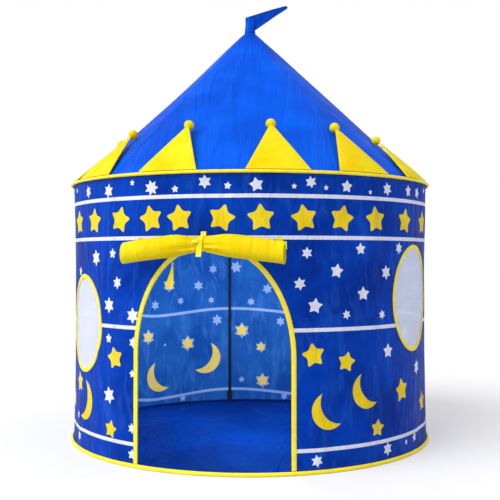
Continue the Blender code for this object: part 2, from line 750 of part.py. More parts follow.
def door_ribbon(yellow):
    """Two ribbon tails that hang from the doorway's binding, inside the opening."""
    half, wide = RIBBON_TOP_WIDTH / 2, RIBBON_SPREAD / 2
    lip = door_outline(0.0, -BINDING_CLOTH - GAP)
    top = min(height_at(lip, RIBBON_PLACE - half), height_at(lip, RIBBON_PLACE + half)) - GAP
    low, fork = top - RIBBON_LENGTH, top - RIBBON_CUT
    shape = [
        (-half, top),
        (half, top),
        (half, fork),
        (wide, low),
        (wide - half, low),
        (0.0, fork),
        (half - wide, low + half),
        (-wide, low + half),
        (-half, fork),
    ]
    shape = [(RIBBON_PLACE + x, y) for x, y in shape]
    bm = cloth_pattern([shape], RIBBON_CLOTH)
    wrap(bm)
    ray = direction(turn_of(RIBBON_PLACE)) * (WALL_RADIUS - RIBBON_CLOTH / 2)
    return finish(bm, "door_ribbon", yellow, origin=(ray.x, ray.y, top - RIBBON_CLOTH))


def main():
    for item in list(bpy.data.objects):
        bpy.data.objects.remove(item, do_unlink=True)
    blue = material("wall cloth", BLUE, 0.6)
    roof_blue = material("roof cloth", ROOF_BLUE, 0.6)
    floor_blue = material("floor cloth", FLOOR_BLUE, 0.65)
    yellow = material("yellow cloth", YELLOW, 0.6)
    net_white = material("window net", NET_WHITE, 0.7)
    steel = material("spring wire", STEEL, 0.35, 1.0)
    black = material("pole", BLACK, 0.4)
    plastic = material("moulded sockets", BLACK, 0.5)

    floor_edge = math.sqrt(max(BASE_TAPE_RADIUS**2 - (BASE_TAPE_RADIUS - FLOOR_CLOTH) ** 2, 0.0))
    floor_radius = BASE_RING_RADIUS - floor_edge - GAP
    turned(
        "floor_sheet",
        [(floor_radius, 0.0), (floor_radius, FLOOR_CLOTH)],
        floor_blue,
        Vector(),
        STATIONS,
        FIRST_STATION - STATION / 2,
    )

    left_window = (LEFT_WINDOW_ANGLE, LEFT_WINDOW_WIDTH, LEFT_WINDOW_HEIGHT, LEFT_WINDOW_MIDDLE)
    right_window = (
        RIGHT_WINDOW_ANGLE,
        RIGHT_WINDOW_WIDTH,
        RIGHT_WINDOW_HEIGHT,
        RIGHT_WINDOW_MIDDLE,
    )
    seams = POLE_ANGLES + [POLE_ANGLES[0] + 360]
    wall_panel("wall_panel_back_left", seams[0], seams[1], blue)
    wall_panel("wall_panel_left", seams[1], seams[2], blue, window=left_window)
    wall_panel("wall_panel_door", seams[2], seams[3], blue, door=True)
    wall_panel("wall_panel_right", seams[3], seams[4], blue, window=right_window)
    wall_panel("wall_panel_back", seams[4], seams[5], blue)
    for number, (first, last) in enumerate(zip(seams, seams[1:]), start=1):
        roof_gore(f"roof_gore_{number}", first, last, roof_blue)

    base = (BASE_RING_RADIUS, BASE_TAPE_RADIUS)
    eave = (EAVE_RING_RADIUS, EAVE_HEIGHT)
    turned_ring("base_binding", tape_section(*base, BASE_TAPE_RADIUS, BASE_WIRE_RADIUS), yellow)
    turned_ring("eave_binding", tape_section(*eave, EAVE_TAPE_RADIUS, EAVE_WIRE_RADIUS), yellow)
    turned_ring("base_hoop", round_section(*base, BASE_WIRE_RADIUS, WIRE_SIDES, 0.0), steel)
    turned_ring("eave_hoop", round_section(*eave, EAVE_WIRE_RADIUS, WIRE_SIDES, 0.0), steel)

    lip = BINDING_CLOTH + GAP

    def arch(grow):
        return door_outline(2 * BASE_TAPE_RADIUS + GAP, grow)

    binding("door_binding", arch, edge_tape_section(lip), yellow, closed=False)
    for side, window in (("left", left_window), ("right", right_window)):
        def oval(grow, window=window):
            return window_outline(*window, grow)

        binding(f"{side}_window_binding", oval, window_tape_section(), yellow, closed=True)
        bm = cloth_pattern([oval(-2 * GAP - BINDING_CLOTH)], NET, top=-(CLOTH - NET) / 2)
        wrap(bm)
        finish(bm, f"{side}_window_net", net_white)

    frame_poles(black, plastic)
    for number in range(1, CROWN_POINTS + 1):
        crown_point(number, yellow)
    pennant(roof_blue)
    flap_roll(yellow)
    flap_curtain(yellow)
    roll_tie(yellow)
    door_ribbon(yellow)


main()
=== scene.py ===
"""Looks of the castle play tent: printed cloth walls, a cone roof with its pennant, stuffed crown
points, net windows, folded tapes and a rolled door flap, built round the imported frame.

The doorway faces -Y, +Z is up and lengths are in metres. Places round the tent are angles in
degrees, counted from the doorway's middle towards +X.
"""

import logging
import math
from dataclasses import dataclass, replace
from enum import Enum
from typing import Callable, Iterable, Sequence

import bmesh
import bpy
import numpy as np
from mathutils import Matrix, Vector, noise
from mathutils.geometry import delaunay_2d_cdt


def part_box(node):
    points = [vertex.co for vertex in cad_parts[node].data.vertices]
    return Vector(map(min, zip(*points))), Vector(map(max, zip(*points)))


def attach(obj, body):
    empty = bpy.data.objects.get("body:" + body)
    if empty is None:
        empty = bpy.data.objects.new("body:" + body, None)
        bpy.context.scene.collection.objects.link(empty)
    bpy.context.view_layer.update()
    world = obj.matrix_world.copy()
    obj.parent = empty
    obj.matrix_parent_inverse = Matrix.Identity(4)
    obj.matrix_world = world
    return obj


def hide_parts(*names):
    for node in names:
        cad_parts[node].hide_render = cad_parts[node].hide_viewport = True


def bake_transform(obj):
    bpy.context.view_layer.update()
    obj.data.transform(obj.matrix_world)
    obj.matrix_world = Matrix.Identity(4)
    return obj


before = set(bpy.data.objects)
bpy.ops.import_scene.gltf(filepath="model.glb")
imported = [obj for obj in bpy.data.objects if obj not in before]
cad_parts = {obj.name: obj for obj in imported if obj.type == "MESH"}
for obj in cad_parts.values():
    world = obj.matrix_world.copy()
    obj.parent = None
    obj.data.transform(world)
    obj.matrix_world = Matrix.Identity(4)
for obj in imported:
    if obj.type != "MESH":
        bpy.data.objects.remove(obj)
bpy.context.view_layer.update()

LOG = logging.getLogger("play_tent")
MM = 0.001
Outline = list[tuple[float, float]]
Finish = bpy.types.Material


# Small helpers


def linear(hex_colour: str) -> tuple[float, float, float, float]:
    """Turn a written sRGB colour to the linear values that a shader takes.

    Args:
        hex_colour: Colour as "#RRGGBB".

    Returns:
        Red, green, blue and alpha, linear.
    """
    parts = [int(hex_colour[at : at + 2], 16) / 255 for at in (1, 3, 5)]
    bent = [c / 12.92 if c <= 0.04045 else ((c + 0.055) / 1.055) ** 2.4 for c in parts]
    return (bent[0], bent[1], bent[2], 1.0)


def feed(tree: bpy.types.NodeTree, node: bpy.types.Node, links: dict) -> None:
    """Set a node's inputs, each to a value or from the socket that feeds it.

    Args:
        tree: Node tree that holds the node.
        node: Node whose inputs are set.
        links: Socket name or number to its value or feeding socket.
    """
    for key, value in links.items():
        if isinstance(value, bpy.types.NodeSocket):
            tree.links.new(value, node.inputs[key])
        else:
            node.inputs[key].default_value = value


def add_node(
    tree: bpy.types.NodeTree, kind: str, links: dict | None = None, **settings
) -> bpy.types.Node:
    """Add a node, with its settings, socket values and links.

    Args:
        tree: Node tree that gets the node.
        kind: Name of the node type.
        links: Socket name or number to a value, or to a socket that feeds it.
        settings: Properties of the node.

    Returns:
        The new node.
    """
    node = tree.nodes.new(kind)
    for name, value in settings.items():
        setattr(node, name, value)
    feed(tree, node, links or {})
    return node


def direction(angle: float) -> Vector:
    """Level unit vector away from the tent's axis at an angle round it."""
    turn = math.radians(angle)
    return Vector((math.sin(turn), -math.cos(turn), 0.0))


def angle_of(point: Vector) -> float:
    """Angle round the tent of a point."""
    return math.degrees(math.atan2(point.x, -point.y))


def node_reach(name: str) -> float:
    """Largest distance from the tent's axis that a CAD node has."""
    return max(math.hypot(v.co.x, v.co.y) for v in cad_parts[name].data.vertices)


def smooth_step(low: float, high: float, value: float) -> float:
    """0 below low, 1 above high and a smooth rise between them."""
    share = min(max((value - low) / (high - low), 0.0), 1.0)
    return share * share * (3 - 2 * share)


def bump(value: float, middle: float, width: float) -> float:
    """Bell of height 1 about a middle."""
    return math.exp(-(((value - middle) / width) ** 2))


def seamless(angle: float, scale: float, moved: Sequence[float]) -> float:
    """Noise that runs on without a seam round the tent.

    Args:
        angle: Angle round the tent in degrees.
        scale: Radius of the circle on which the noise is read.
        moved: How far that circle is moved.

    Returns:
        Value between about -1 and 1.
    """
    turn = math.radians(angle)
    around = Vector((math.sin(turn), math.cos(turn), 0.0))
    return noise.noise(around * scale + Vector(moved))


def apart(angle: float, other: float) -> float:
    """Angle from another one, the short way round, in degrees."""
    return (angle - other + 180) % 360 - 180


def declare(
    piece: bpy.types.Object, body: str, slot: str | None = None, *nodes: str
) -> bpy.types.Object:
    """Hang a piece on its CAD body's empty, hide the CAD nodes that it stands for and log it.

    Args:
        piece: Finished piece.
        body: CAD body that it rides on.
        slot: What it is made of. Not used.
        nodes: CAD nodes that it stands for.

    Returns:
        The same piece.
    """
    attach(piece, body)
    if nodes:
        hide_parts(*nodes)
    LOG.info("%s: %d faces", piece.name, len(piece.data.polygons))
    return piece


def dense(outline: Outline, step: float, closed: bool = True) -> Outline:
    """Add points to an outline so that no edge is longer than a step.

    Args:
        outline: Corners in order.
        step: Longest edge wanted.
        closed: Whether the last corner joins the first.

    Returns:
        The outline with its added points.
    """
    points: Outline = []
    count = len(outline)
    for at in range(count if closed else count - 1):
        (x0, y0), (x1, y1) = outline[at], outline[(at + 1) % count]
        parts = max(1, math.ceil(math.hypot(x1 - x0, y1 - y0) / step))
        points += [(x0 + (x1 - x0) * k / parts, y0 + (y1 - y0) * k / parts) for k in range(parts)]
    return points if closed else [*points, outline[-1]]


def anticlockwise(outline: Outline) -> Outline:
    """An outline in anticlockwise order, as the triangulation needs it.

    Args:
        outline: Closed outline in any order.

    Returns:
        The same points in that order.
    """
    edges = zip(outline, outline[1:] + outline[:1])
    twice_area = sum(x0 * y1 - x1 * y0 for (x0, y0), (x1, y1) in edges)
    return outline if twice_area > 0 else outline[::-1]


def link(
    name: str, mesh: bpy.types.Mesh, finishes: Sequence[bpy.types.Material] = ()
) -> bpy.types.Object:
    """Put a mesh into the scene as a named object at the origin.

    Args:
        name: Name of the piece.
        mesh: Mesh with its place in its points.
        finishes: Materials by slot.

    Returns:
        The new object.
    """
    mesh.name = name
    for finish in finishes:
        mesh.materials.append(finish)
    piece = bpy.data.objects.new(name, mesh)
    bpy.context.collection.objects.link(piece)
    return piece


def settle(piece: bpy.types.Object) -> bpy.types.Object:
    """Turn a piece's modifiers into plain mesh and take them off.

    Args:
        piece: Object with live modifiers.

    Returns:
        The same object with its final mesh.
    """
    bpy.context.view_layer.update()
    graph = bpy.context.evaluated_depsgraph_get()
    made = bpy.data.meshes.new_from_object(piece.evaluated_get(graph))
    piece.modifiers.clear()
    old, piece.data = piece.data, made
    bpy.data.meshes.remove(old)
    made.name = piece.name
    return piece


def soften(piece: bpy.types.Object, sharp_angle: float = 40.0) -> bpy.types.Object:
    """Shade a piece smooth, with crisp edges past an angle in degrees.

    Args:
        piece: Object to shade.
        sharp_angle: Least angle of a crisp edge.

    Returns:
        The same object.
    """
    piece.data.shade_smooth()
    piece.data.set_sharp_from_angle(angle=math.radians(sharp_angle))
    return piece


def thicken(piece: bpy.types.Object, thick: float, inner_slots: int = 0) -> bpy.types.Object:
    """Give a sheet its thickness on the side away from its normals.

    Args:
        piece: Open sheet.
        thick: Thickness of the cloth.
        inner_slots: How many material slots further on the inner side's finishes lie.

    Returns:
        The same object as a closed solid.
    """
    solid = piece.modifiers.new("Cloth thickness", "SOLIDIFY")
    solid.thickness = thick
    solid.offset = -1.0
    solid.material_offset = inner_slots
    return soften(settle(piece))


def skin(
    name: str,
    rows: list[list[Vector]],
    closed: tuple[bool, bool],
    more: Iterable[Sequence[int]] = (),
) -> bpy.types.Mesh:
    """Skin rows of points, each as long as the next.

    Args:
        name: Name of the mesh.
        rows: Points, row by row.
        closed: Whether the rows close round, and whether the points of a row do.
        more: Further faces, by the numbers of their points.

    Returns:
        Mesh with its normals made to agree.
    """
    made = bmesh.new()
    grid = [[made.verts.new(point) for point in row] for row in rows]
    count, total = len(grid[0]), len(grid)
    for i in range(total if closed[0] else total - 1):
        low, high = grid[i], grid[(i + 1) % total]
        for j in range(count if closed[1] else count - 1):
            made.faces.new((low[j], low[(j + 1) % count], high[(j + 1) % count], high[j]))
    points = [point for row in grid for point in row]
    for corners in more:
        made.faces.new([points[corner] for corner in corners])
    bmesh.ops.recalc_face_normals(made, faces=made.faces[:])
    return to_mesh(made, name)


def end_caps(rows: list[list[Vector]]) -> list[list[int]]:
    """Faces that close a skin at its first and last rows."""
    count, start = len(rows[0]), len(rows[0]) * (len(rows) - 1)
    return [list(range(count)), list(range(start, start + count))]


def to_mesh(made: bmesh.types.BMesh, name: str) -> bpy.types.Mesh:
    """Turn an editable mesh into a plain one and free it.

    Args:
        made: Editable mesh.
        name: Name of the mesh.

    Returns:
        The plain mesh.
    """
    mesh = bpy.data.meshes.new(name)
    made.to_mesh(mesh)
    made.free()
    return mesh


def lay_flat(mesh: bpy.types.Mesh, flat_at: Callable[[int], Sequence[float]]) -> None:
    """Give a cloth its flat plan in metres, which its weave follows.

    Args:
        mesh: Mesh of the cloth.
        flat_at: Gives the flat place of a point by its number.
    """
    layer = mesh.uv_layers.new(name="cloth_plan")
    for loop in mesh.loops:
        layer.data[loop.index].uv = flat_at(loop.vertex_index)


def lay_rows(
    mesh: bpy.types.Mesh, length: int, flat_at: Callable[[int, int], Sequence[float]]
) -> None:
    """Give a skinned cloth its flat plan in metres.

    Args:
        mesh: Mesh of the cloth, made by skin.
        length: Points in each of its rows.
        flat_at: Gives the flat place of a point by its row and its place in the row.
    """
    lay_flat(mesh, lambda corner: flat_at(*divmod(corner, length)))


def face_towards(mesh: bpy.types.Mesh, ray: Vector) -> None:
    """Turn a mesh over where its first face looks away from a direction."""
    if mesh.polygons[0].normal.dot(ray) < 0:
        mesh.flip_normals()


def new_group(
    name: str, sockets: dict[str, str]
) -> tuple[bpy.types.NodeTree, bpy.types.bpy_prop_collection]:
    """Start a Geometry Nodes tree that takes geometry and gives geometry.

    Args:
        name: Name of the tree.
        sockets: Name of each further input, with its kind.

    Returns:
        The tree and the sockets of what it is given.
    """
    made = bpy.data.node_groups.new(name, "GeometryNodeTree")
    for socket, kind in {"Geometry": "Geometry", **sockets}.items():
        made.interface.new_socket(name=socket, in_out="INPUT", socket_type=f"NodeSocket{kind}")
    made.interface.new_socket(
        name="Geometry", in_out="OUTPUT", socket_type="NodeSocketGeometry"
    )
    return made, add_node(made, "NodeGroupInput").outputs


def end_group(
    made: bpy.types.NodeTree, instances: dict, finish: bpy.types.NodeSocket
) -> bpy.types.NodeTree:
    """End a tree: set the instances, make them real and give them their material.

    Args:
        made: The tree.
        instances: Links of the node that sets the instances on points.
        finish: Socket that gives the material.

    Returns:
        The finished tree.
    """
    laid = add_node(made, "GeometryNodeInstanceOnPoints", instances)
    real = add_node(made, "GeometryNodeRealizeInstances", {"Geometry": laid.outputs[0]})
    dyed = add_node(
        made, "GeometryNodeSetMaterial", {"Geometry": real.outputs[0], "Material": finish}
    )
    add_node(made, "NodeGroupOutput", {0: dyed.outputs[0]})
    return made


def grow(piece: bpy.types.Object, tree: bpy.types.NodeTree, given: dict) -> bpy.types.Object:
    """Run a Geometry Nodes tree on a piece and keep its result as plain mesh.

    Args:
        piece: Object whose mesh the tree starts from.
        tree: The tree.
        given: Value of each named input.

    Returns:
        The same object with its final mesh.
    """
    nodes = piece.modifiers.new(tree.name, "NODES")
    nodes.node_group = tree
    for item in tree.interface.items_tree:
        if item.in_out == "INPUT" and item.name in given:
            nodes[item.identifier] = given[item.name]
    return settle(piece)


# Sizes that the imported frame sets


@dataclass(frozen=True)
class Drum:
    """The tent's round body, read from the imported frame.

    Places along the wall are distances in metres from the doorway's middle, so that a flat
    cloth pattern can be laid on it.
    """

    radius: float = node_reach("wall_panel_back")
    foot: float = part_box("wall_panel_back")[0].z
    eave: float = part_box("wall_panel_back")[1].z
    cloth: float = 1.2 * MM
    seam_gap: float = 0.4 * MM
    billow: float = 4.6 * MM
    billow_power: float = 1.25
    gather: float = 1.9 * MM
    # Creases from one angle and height to another: height in mm over the cloth, and half width
    creases: tuple[tuple[float, float, float, float, float, float], ...] = (
        (22.5, 0.475, 34.0, 0.455, 2.0, 5.0), (23.0, 0.425, 36.0, 0.395, 2.2, 6.0),
        (24.5, 0.330, 33.0, 0.300, 1.8, 5.0), (45.5, 0.560, 47.0, 0.300, 3.0, 8.0),
        (44.0, 0.280, 45.0, 0.060, 3.0, 7.0), (58.0, 0.250, 57.0, 0.080, 2.6, 8.0),
        (25.5, 0.240, 27.0, 0.080, -2.6, 9.0), (-23.5, 0.500, -31.0, 0.420, 2.2, 6.0),
        (-35.0, 0.560, -37.0, 0.360, 3.2, 8.0), (-40.0, 0.320, -35.0, 0.130, 2.8, 7.0),
        (217.0, 0.060, 226.0, 0.270, -3.6, 13.0), (217.0, 0.060, 210.0, 0.320, 3.2, 12.0),
        (210.0, 0.320, 217.0, 0.500, 3.0, 12.0), (205.0, 0.280, 199.0, 0.450, -3.2, 12.0),
        (184.0, 0.100, 181.0, 0.400, 2.8, 12.0), (191.0, 0.400, 187.0, 0.560, 2.6, 10.0),
        (176.0, 0.180, 179.0, 0.450, -3.0, 12.0), (232.0, 0.300, 226.0, 0.540, 2.6, 11.0),
    )
    poles: tuple[float, ...] = tuple(
        sorted(angle_of(sum(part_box(f"wall_pole_{n}"), Vector()) / 2) for n in range(1, 6))
    )

    def place_of(self, angle: float) -> float:
        """Place along the wall of an angle round the tent."""
        return self.radius * math.radians(angle)

    def angle_at(self, place: float) -> float:
        """Angle round the tent of a place along the wall."""
        return math.degrees(place / self.radius)

    def panels(self) -> list[tuple[float, float]]:
        """First and last angle of each wall panel, from the back left round to the back."""
        ends = [*self.poles, self.poles[0] + 360]
        return list(zip(ends, ends[1:]))

    def panel_at(self, angle: float) -> tuple[float, float]:
        """Degrees from a panel's first pole to an angle on it, and the panel's width in degrees.

        Args:
            angle: Angle round the tent in degrees.

        Returns:
            Both in degrees.
        """
        turned = (angle - self.poles[0]) % 360 + self.poles[0]
        for first, last in self.panels():
            if first <= turned <= last:
                return turned - first, last - first
        return 0.0, 1.0

    def between_poles(self, angle: float) -> float:
        """Share of the way from one pole to the next at an angle."""
        along, width = self.panel_at(angle)
        return along / width

    def from_gore_middle(self, angle: float) -> float:
        """Degrees from the middle between two poles to an angle."""
        along, width = self.panel_at(angle)
        return along - width / 2

    def slack(self, place: float, height: float) -> float:
        """How far the cloth stands out from the true drum, mostly less than nothing.

        It hangs in between the poles, is drawn into small upright folds by the eave's seam and
        lies smooth where a tape holds it.

        Args:
            place: Place along the wall.
            height: Height over the ground.

        Returns:
            Distance in metres, outwards.
        """
        angle = self.angle_at(place)
        up = (height - self.foot) / (self.eave - self.foot)
        across = math.sin(math.pi * self.between_poles(angle))
        span = across**2
        upright = math.sin(math.pi * min(max(up, 0.0), 1.0))
        hang = -self.billow * across**self.billow_power * upright**0.7
        # Broad upright folds, fine ones, and crumples that lie level
        folds = seamless(angle, 9.0, (0, 0, height * 2.2))
        fine = seamless(angle, 21.0, (3.1, 0, height * 3.5))
        crumple = seamless(angle, 5.0, (0, 7.7, height * 9.0))
        eave_pull = bump(up, 0.93, 0.16) + 0.7 * bump(up, 0.04, 0.1)
        held = 1 - smooth_step(0.975, 1.0, up) * 0.9
        wave = folds * (0.9 + 0.8 * eave_pull) + fine * (0.15 + 0.9 * eave_pull) + 0.7 * crumple
        creased = self.crease(angle, height) * upright**0.4
        return hang + creased + self.gather * (wave * (0.25 + 0.75 * span) * held - 0.3)

    def crease(self, angle: float, height: float) -> float:
        """How far the creases lift the cloth, or press it in, at an angle and height.

        Args:
            angle: Angle round the tent in degrees.
            height: Height over the ground.

        Returns:
            Distance in metres, outwards.
        """
        total = 0.0
        for first, low, last, high, rise, half in self.creases:
            along = Vector((self.place_of(last - first), high - low))
            away = Vector((self.place_of(apart(angle, first)), height - low))
            share = min(max(away.dot(along) / along.length_squared, 0.0), 1.0)
            gap = (away - along * share).length / (half * MM)
            if gap < 3:
                ends = math.sin(math.pi * (0.12 + 0.76 * share))
                total += rise * MM * math.exp(-gap * gap / 2) * ends
        return total

    def point(self, place: float, height: float, over: float = 0.0) -> Vector:
        """Point on the cloth's outer face at a place and height, lifted off it by over.

        Args:
            place: Place along the wall.
            height: Height over the ground.
            over: Distance off the cloth.

        Returns:
            Point in the shared frame.
        """
        radius = self.radius + self.slack(place, height) + over
        flat = direction(self.angle_at(place)) * radius
        return Vector((flat.x, flat.y, height))


@dataclass(frozen=True)
class Doorway:
    """Round-headed doorway, read from the inner edge of its binding."""

    half_width: float = 0.200
    spring: float = 0.280
    height: float = 0.549
    steps: int = 48

    def outline(self, foot: float, grow: float = 0.0) -> Outline:
        """Edge from the left foot over the arch to the right foot, moved out by grow.

        Args:
            foot: Height of both feet.
            grow: Distance outwards.

        Returns:
            Edge, open at its foot.
        """
        points = [(-self.half_width - grow, foot)]
        for step in range(self.steps + 1):
            turn = math.pi * (1 - step / self.steps)
            across = (self.half_width + grow) * math.cos(turn)
            rise = (self.height - self.spring + grow) * math.sin(turn)
            points.append((across, self.spring + rise))
        points.append((self.half_width + grow, foot))
        return points


@dataclass(frozen=True)
class OvalWindow:
    """Oval hole in a wall panel for a net."""

    name: str
    angle: float
    width: float
    height: float
    middle: float
    steps: int = 64

    def outline(self, drum: Drum, grow: float = 0.0) -> Outline:
        """Edge of the hole, moved out by grow.

        Args:
            drum: Drum that carries the cloth.
            grow: Distance outwards.

        Returns:
            Closed edge on the flat cloth.
        """
        turns = [2 * math.pi * step / self.steps for step in range(self.steps)]
        centre = drum.place_of(self.angle)
        return [
            (
                centre + (self.width / 2 + grow) * math.cos(turn),
                self.middle + (self.height / 2 + grow) * math.sin(turn),
            )
            for turn in turns
        ]


# Finishes. Every pattern's scale is worked out from a real size in millimetres


class Recipe:
    """A material while it is made, with short ways to add the nodes that many finishes use."""

    def __init__(self, name: str) -> None:
        """Start a material with one shader.

        Args:
            name: Name of the material.
        """
        self.material = bpy.data.materials.new(name)
        self.material.use_nodes = True
        self.tree = self.material.node_tree
        self.shader = self.tree.nodes["Principled BSDF"]

    def place(self) -> bpy.types.NodeSocket:
        """Place on the object, in metres."""
        return add_node(self.tree, "ShaderNodeTexCoord").outputs["Object"]

    def plan(self) -> bpy.types.NodeSocket:
        """Place on the cloth's flat plan, in metres."""
        return add_node(self.tree, "ShaderNodeUVMap", uv_map="cloth_plan").outputs["UV"]

    def cloud(
        self, place: bpy.types.NodeSocket, scale: float, detail: float, **more: float
    ) -> bpy.types.NodeSocket:
        """Soft noise at a place."""
        links = {"Vector": place, "Scale": scale, "Detail": detail, **more}
        return add_node(self.tree, "ShaderNodeTexNoise", links).outputs["Fac"]

    def ribs(
        self, plan: bpy.types.NodeSocket, pitch: float, way: str = "X"
    ) -> bpy.types.NodeSocket:
        """Ribs at a pitch. A wave texture's bands are 0.314 units apart at a scale of 1."""
        links = {"Vector": plan, "Scale": math.pi / 10 / pitch}
        return add_node(self.tree, "ShaderNodeTexWave", links, bands_direction=way).outputs["Fac"]

    def ramp(
        self,
        value: bpy.types.NodeSocket,
        start: float = 0.0,
        end: float = 1.0,
        low: float = 0.0,
        high: float = 1.0,
    ) -> bpy.types.NodeSocket:
        """Values from start to end, spread from low to high."""
        links = {"Value": value, "From Min": start, "From Max": end, "To Min": low, "To Max": high}
        return add_node(self.tree, "ShaderNodeMapRange", links).outputs["Result"]

    def tint(
        self, share: bpy.types.NodeSocket, low: str | bpy.types.NodeSocket, high: str
    ) -> bpy.types.NodeSocket:
        """Colour between two, given as written colours or a socket.

        Args:
            share: Share of the second colour.
            low: First colour.
            high: Second colour.

        Returns:
            The colour.
        """
        low = linear(low) if isinstance(low, str) else low
        links = {0: share, 6: low, 7: linear(high)}
        return add_node(self.tree, "ShaderNodeMix", links, data_type="RGBA").outputs[2]

    def relief(
        self,
        height: bpy.types.NodeSocket,
        strength: float,
        depth: float,
        under: bpy.types.NodeSocket | None = None,
    ) -> bpy.types.NodeSocket:
        """Normal of a relief, laid over another one.

        Args:
            height: Height of the relief.
            strength: How strongly it shows.
            depth: Its depth in metres.
            under: Normal that it is laid over.

        Returns:
            The normal.
        """
        links = {"Height": height, "Strength": strength, "Distance": depth}
        if under:
            links["Normal"] = under
        return add_node(self.tree, "ShaderNodeBump", links).outputs["Normal"]

    def shade(self, **links: object) -> bpy.types.Material:
        """Set the shader's inputs, with underscores for the blanks in their names."""
        feed(self.tree, self.shader, {name.replace("_", " "): at for name, at in links.items()})
        return self.material


@dataclass(frozen=True)
class Taffeta:
    """Woven polyester taffeta with a coated back, as play tents are sewn from.

    The eye gets a tight plain weave, soft folds along the cloth with painted highlights on them,
    patches of painted shade, faint crinkles from having been folded flat, and light that comes
    through it. The weave's colour carries a little painted shade and highlight.
    """

    name: str
    colour: str
    # Colour of the painted shade, laid in broad random patches
    shade_colour: str
    roughness: float = 0.50
    shine: float = 0.06
    light_through: float = 0.18
    crinkle_size: float = 38 * MM
    crinkle_depth: float = 0.9 * MM
    # Strength and colour of the painted highlights along the folds
    highlight_strength: float = 0.0
    highlight_colour: str = "#3C84F4"
    streak_width: float = 34 * MM
    streak_length: float = 120 * MM
    streak_depth: float = 7 * MM
    # Real yarns are about 0.15 mm apart, too fine to show, so they are drawn ten times as coarse
    yarn_pitch: float = 1.5 * MM

    def make(self) -> bpy.types.Material:
        """Build the material.

        Returns:
            The material.
        """
        r = Recipe(self.name)
        place, plan = r.place(), r.plan()
        broad = r.cloud(place, 0.3 / self.crinkle_size, 3.0, Roughness=0.55)
        crinkle = r.cloud(place, 1 / self.crinkle_size, 4.0, Distortion=0.6)
        warp, weft = (r.ribs(plan, self.yarn_pitch, way) for way in ("X", "Y"))
        crossed = {0: warp, 1: weft}
        weave = add_node(r.tree, "ShaderNodeMath", crossed, operation="MULTIPLY").outputs[0]
        drawn_out = {0: plan, 1: (1 / self.streak_width, 1 / self.streak_length, 1.0)}
        stretched = add_node(r.tree, "ShaderNodeVectorMath", drawn_out, operation="MULTIPLY")
        folds = r.cloud(stretched.outputs["Vector"], 1.0, 3.0, Distortion=1.4)
        # Painted shade: the darker colour is laid in broad soft patches of noise
        colour = r.tint(r.ramp(broad, 0.34, 0.64), self.shade_colour, self.colour)
        # Painted highlights: lighter streaks where the stretched fold noise is high, standing for
        # the gleam of the folds
        highlighted = r.tint(r.ramp(folds, 0.52, 0.74, high=self.highlight_strength), colour, self.highlight_colour)
        # Painted shade and highlight of the yarns: the weave darkens and lightens the colour
        lit_and_shaded = add_node(
            r.tree,
            "ShaderNodeVectorMath",
            {0: highlighted, "Scale": r.ramp(weave, low=0.93, high=1.05)},
            operation="SCALE",
        ).outputs["Vector"]
        creased = r.relief(crinkle, 0.8, self.crinkle_depth)
        folded = r.relief(folds, 0.9, self.streak_depth, creased)
        knit = r.relief(weave, 0.15, self.yarn_pitch / 5, folded)
        r.shade(
            Base_Color=lit_and_shaded,
            Roughness=r.ramp(crinkle, 0.3, 0.7, self.roughness - 0.08, self.roughness + 0.08),
            Normal=knit,
            IOR=1.5,
            Specular_IOR_Level=self.shine,
        )
        glow = add_node(r.tree, "ShaderNodeBsdfTranslucent", {"Color": lit_and_shaded, "Normal": knit})
        both = add_node(
            r.tree,
            "ShaderNodeMixShader",
            {0: self.light_through, 1: r.shader.outputs["BSDF"], 2: glow.outputs["BSDF"]},
        )
        feed(r.tree, r.tree.nodes["Material Output"], {"Surface": both.outputs["Shader"]})
        return r.material


@dataclass(frozen=True)
class Tape:
    """Polyester binding tape, woven with ribs across its length.

    The eye gets a bright, dense yellow edge with fine cross ribs, a slight sheen and soft patches
    of painted shade.
    """

    name: str
    colour: str
    # Colour of the painted shade, laid in random patches
    shade_colour: str
    roughness: float = 0.55
    # Real ribs are about 0.4 mm apart, drawn five times as coarse so that they show
    rib_pitch: float = 2.0 * MM
    # Size of the random patches that carry the painted shade and vary the roughness
    rub_and_shade_size: float = 25 * MM

    def make(self) -> bpy.types.Material:
        """Build the material.

        Returns:
            The material.
        """
        r = Recipe(self.name)
        # Random patches: painted shade in the colour, and rougher and smoother places
        rub_and_shade = r.cloud(r.place(), 1 / self.rub_and_shade_size, 3.0)
        return r.shade(
            Base_Color=r.tint(r.ramp(rub_and_shade, 0.3, 0.65), self.shade_colour, self.colour),
            Roughness=r.ramp(rub_and_shade, low=self.roughness - 0.08, high=self.roughness + 0.1),
            Normal=r.relief(r.ribs(r.plan(), self.rib_pitch), 0.35, self.rib_pitch / 5),
            Sheen_Weight=0.1,
        )


@dataclass(frozen=True)
class Netting:
    """Knitted polyester net, white. The eye gets a pale veil with the tent's inside behind it."""

    name: str = "knitted_polyester_net"
    colour: str = "#F4F6FF"
    # Real holes are about 1.2 mm apart, drawn twice as coarse so that they show
    hole_pitch: float = 2.4 * MM
    thread_cover: float = 0.92
    hole_cover: float = 0.174

    def make(self) -> bpy.types.Material:
        """Build the material.

        Returns:
            The material.
        """
        r = Recipe(self.name)
        cells = add_node(
            r.tree,
            "ShaderNodeTexVoronoi",
            {"Vector": r.plan(), "Scale": 1 / self.hole_pitch, "Randomness": 0.25},
            feature="DISTANCE_TO_EDGE",
        ).outputs["Distance"]
        return r.shade(
            Base_Color=linear(self.colour),
            Roughness=0.7,
            Sheen_Weight=0.2,
            Alpha=r.ramp(cells, 0.07, 0.22, self.thread_cover, self.hole_cover),
        )


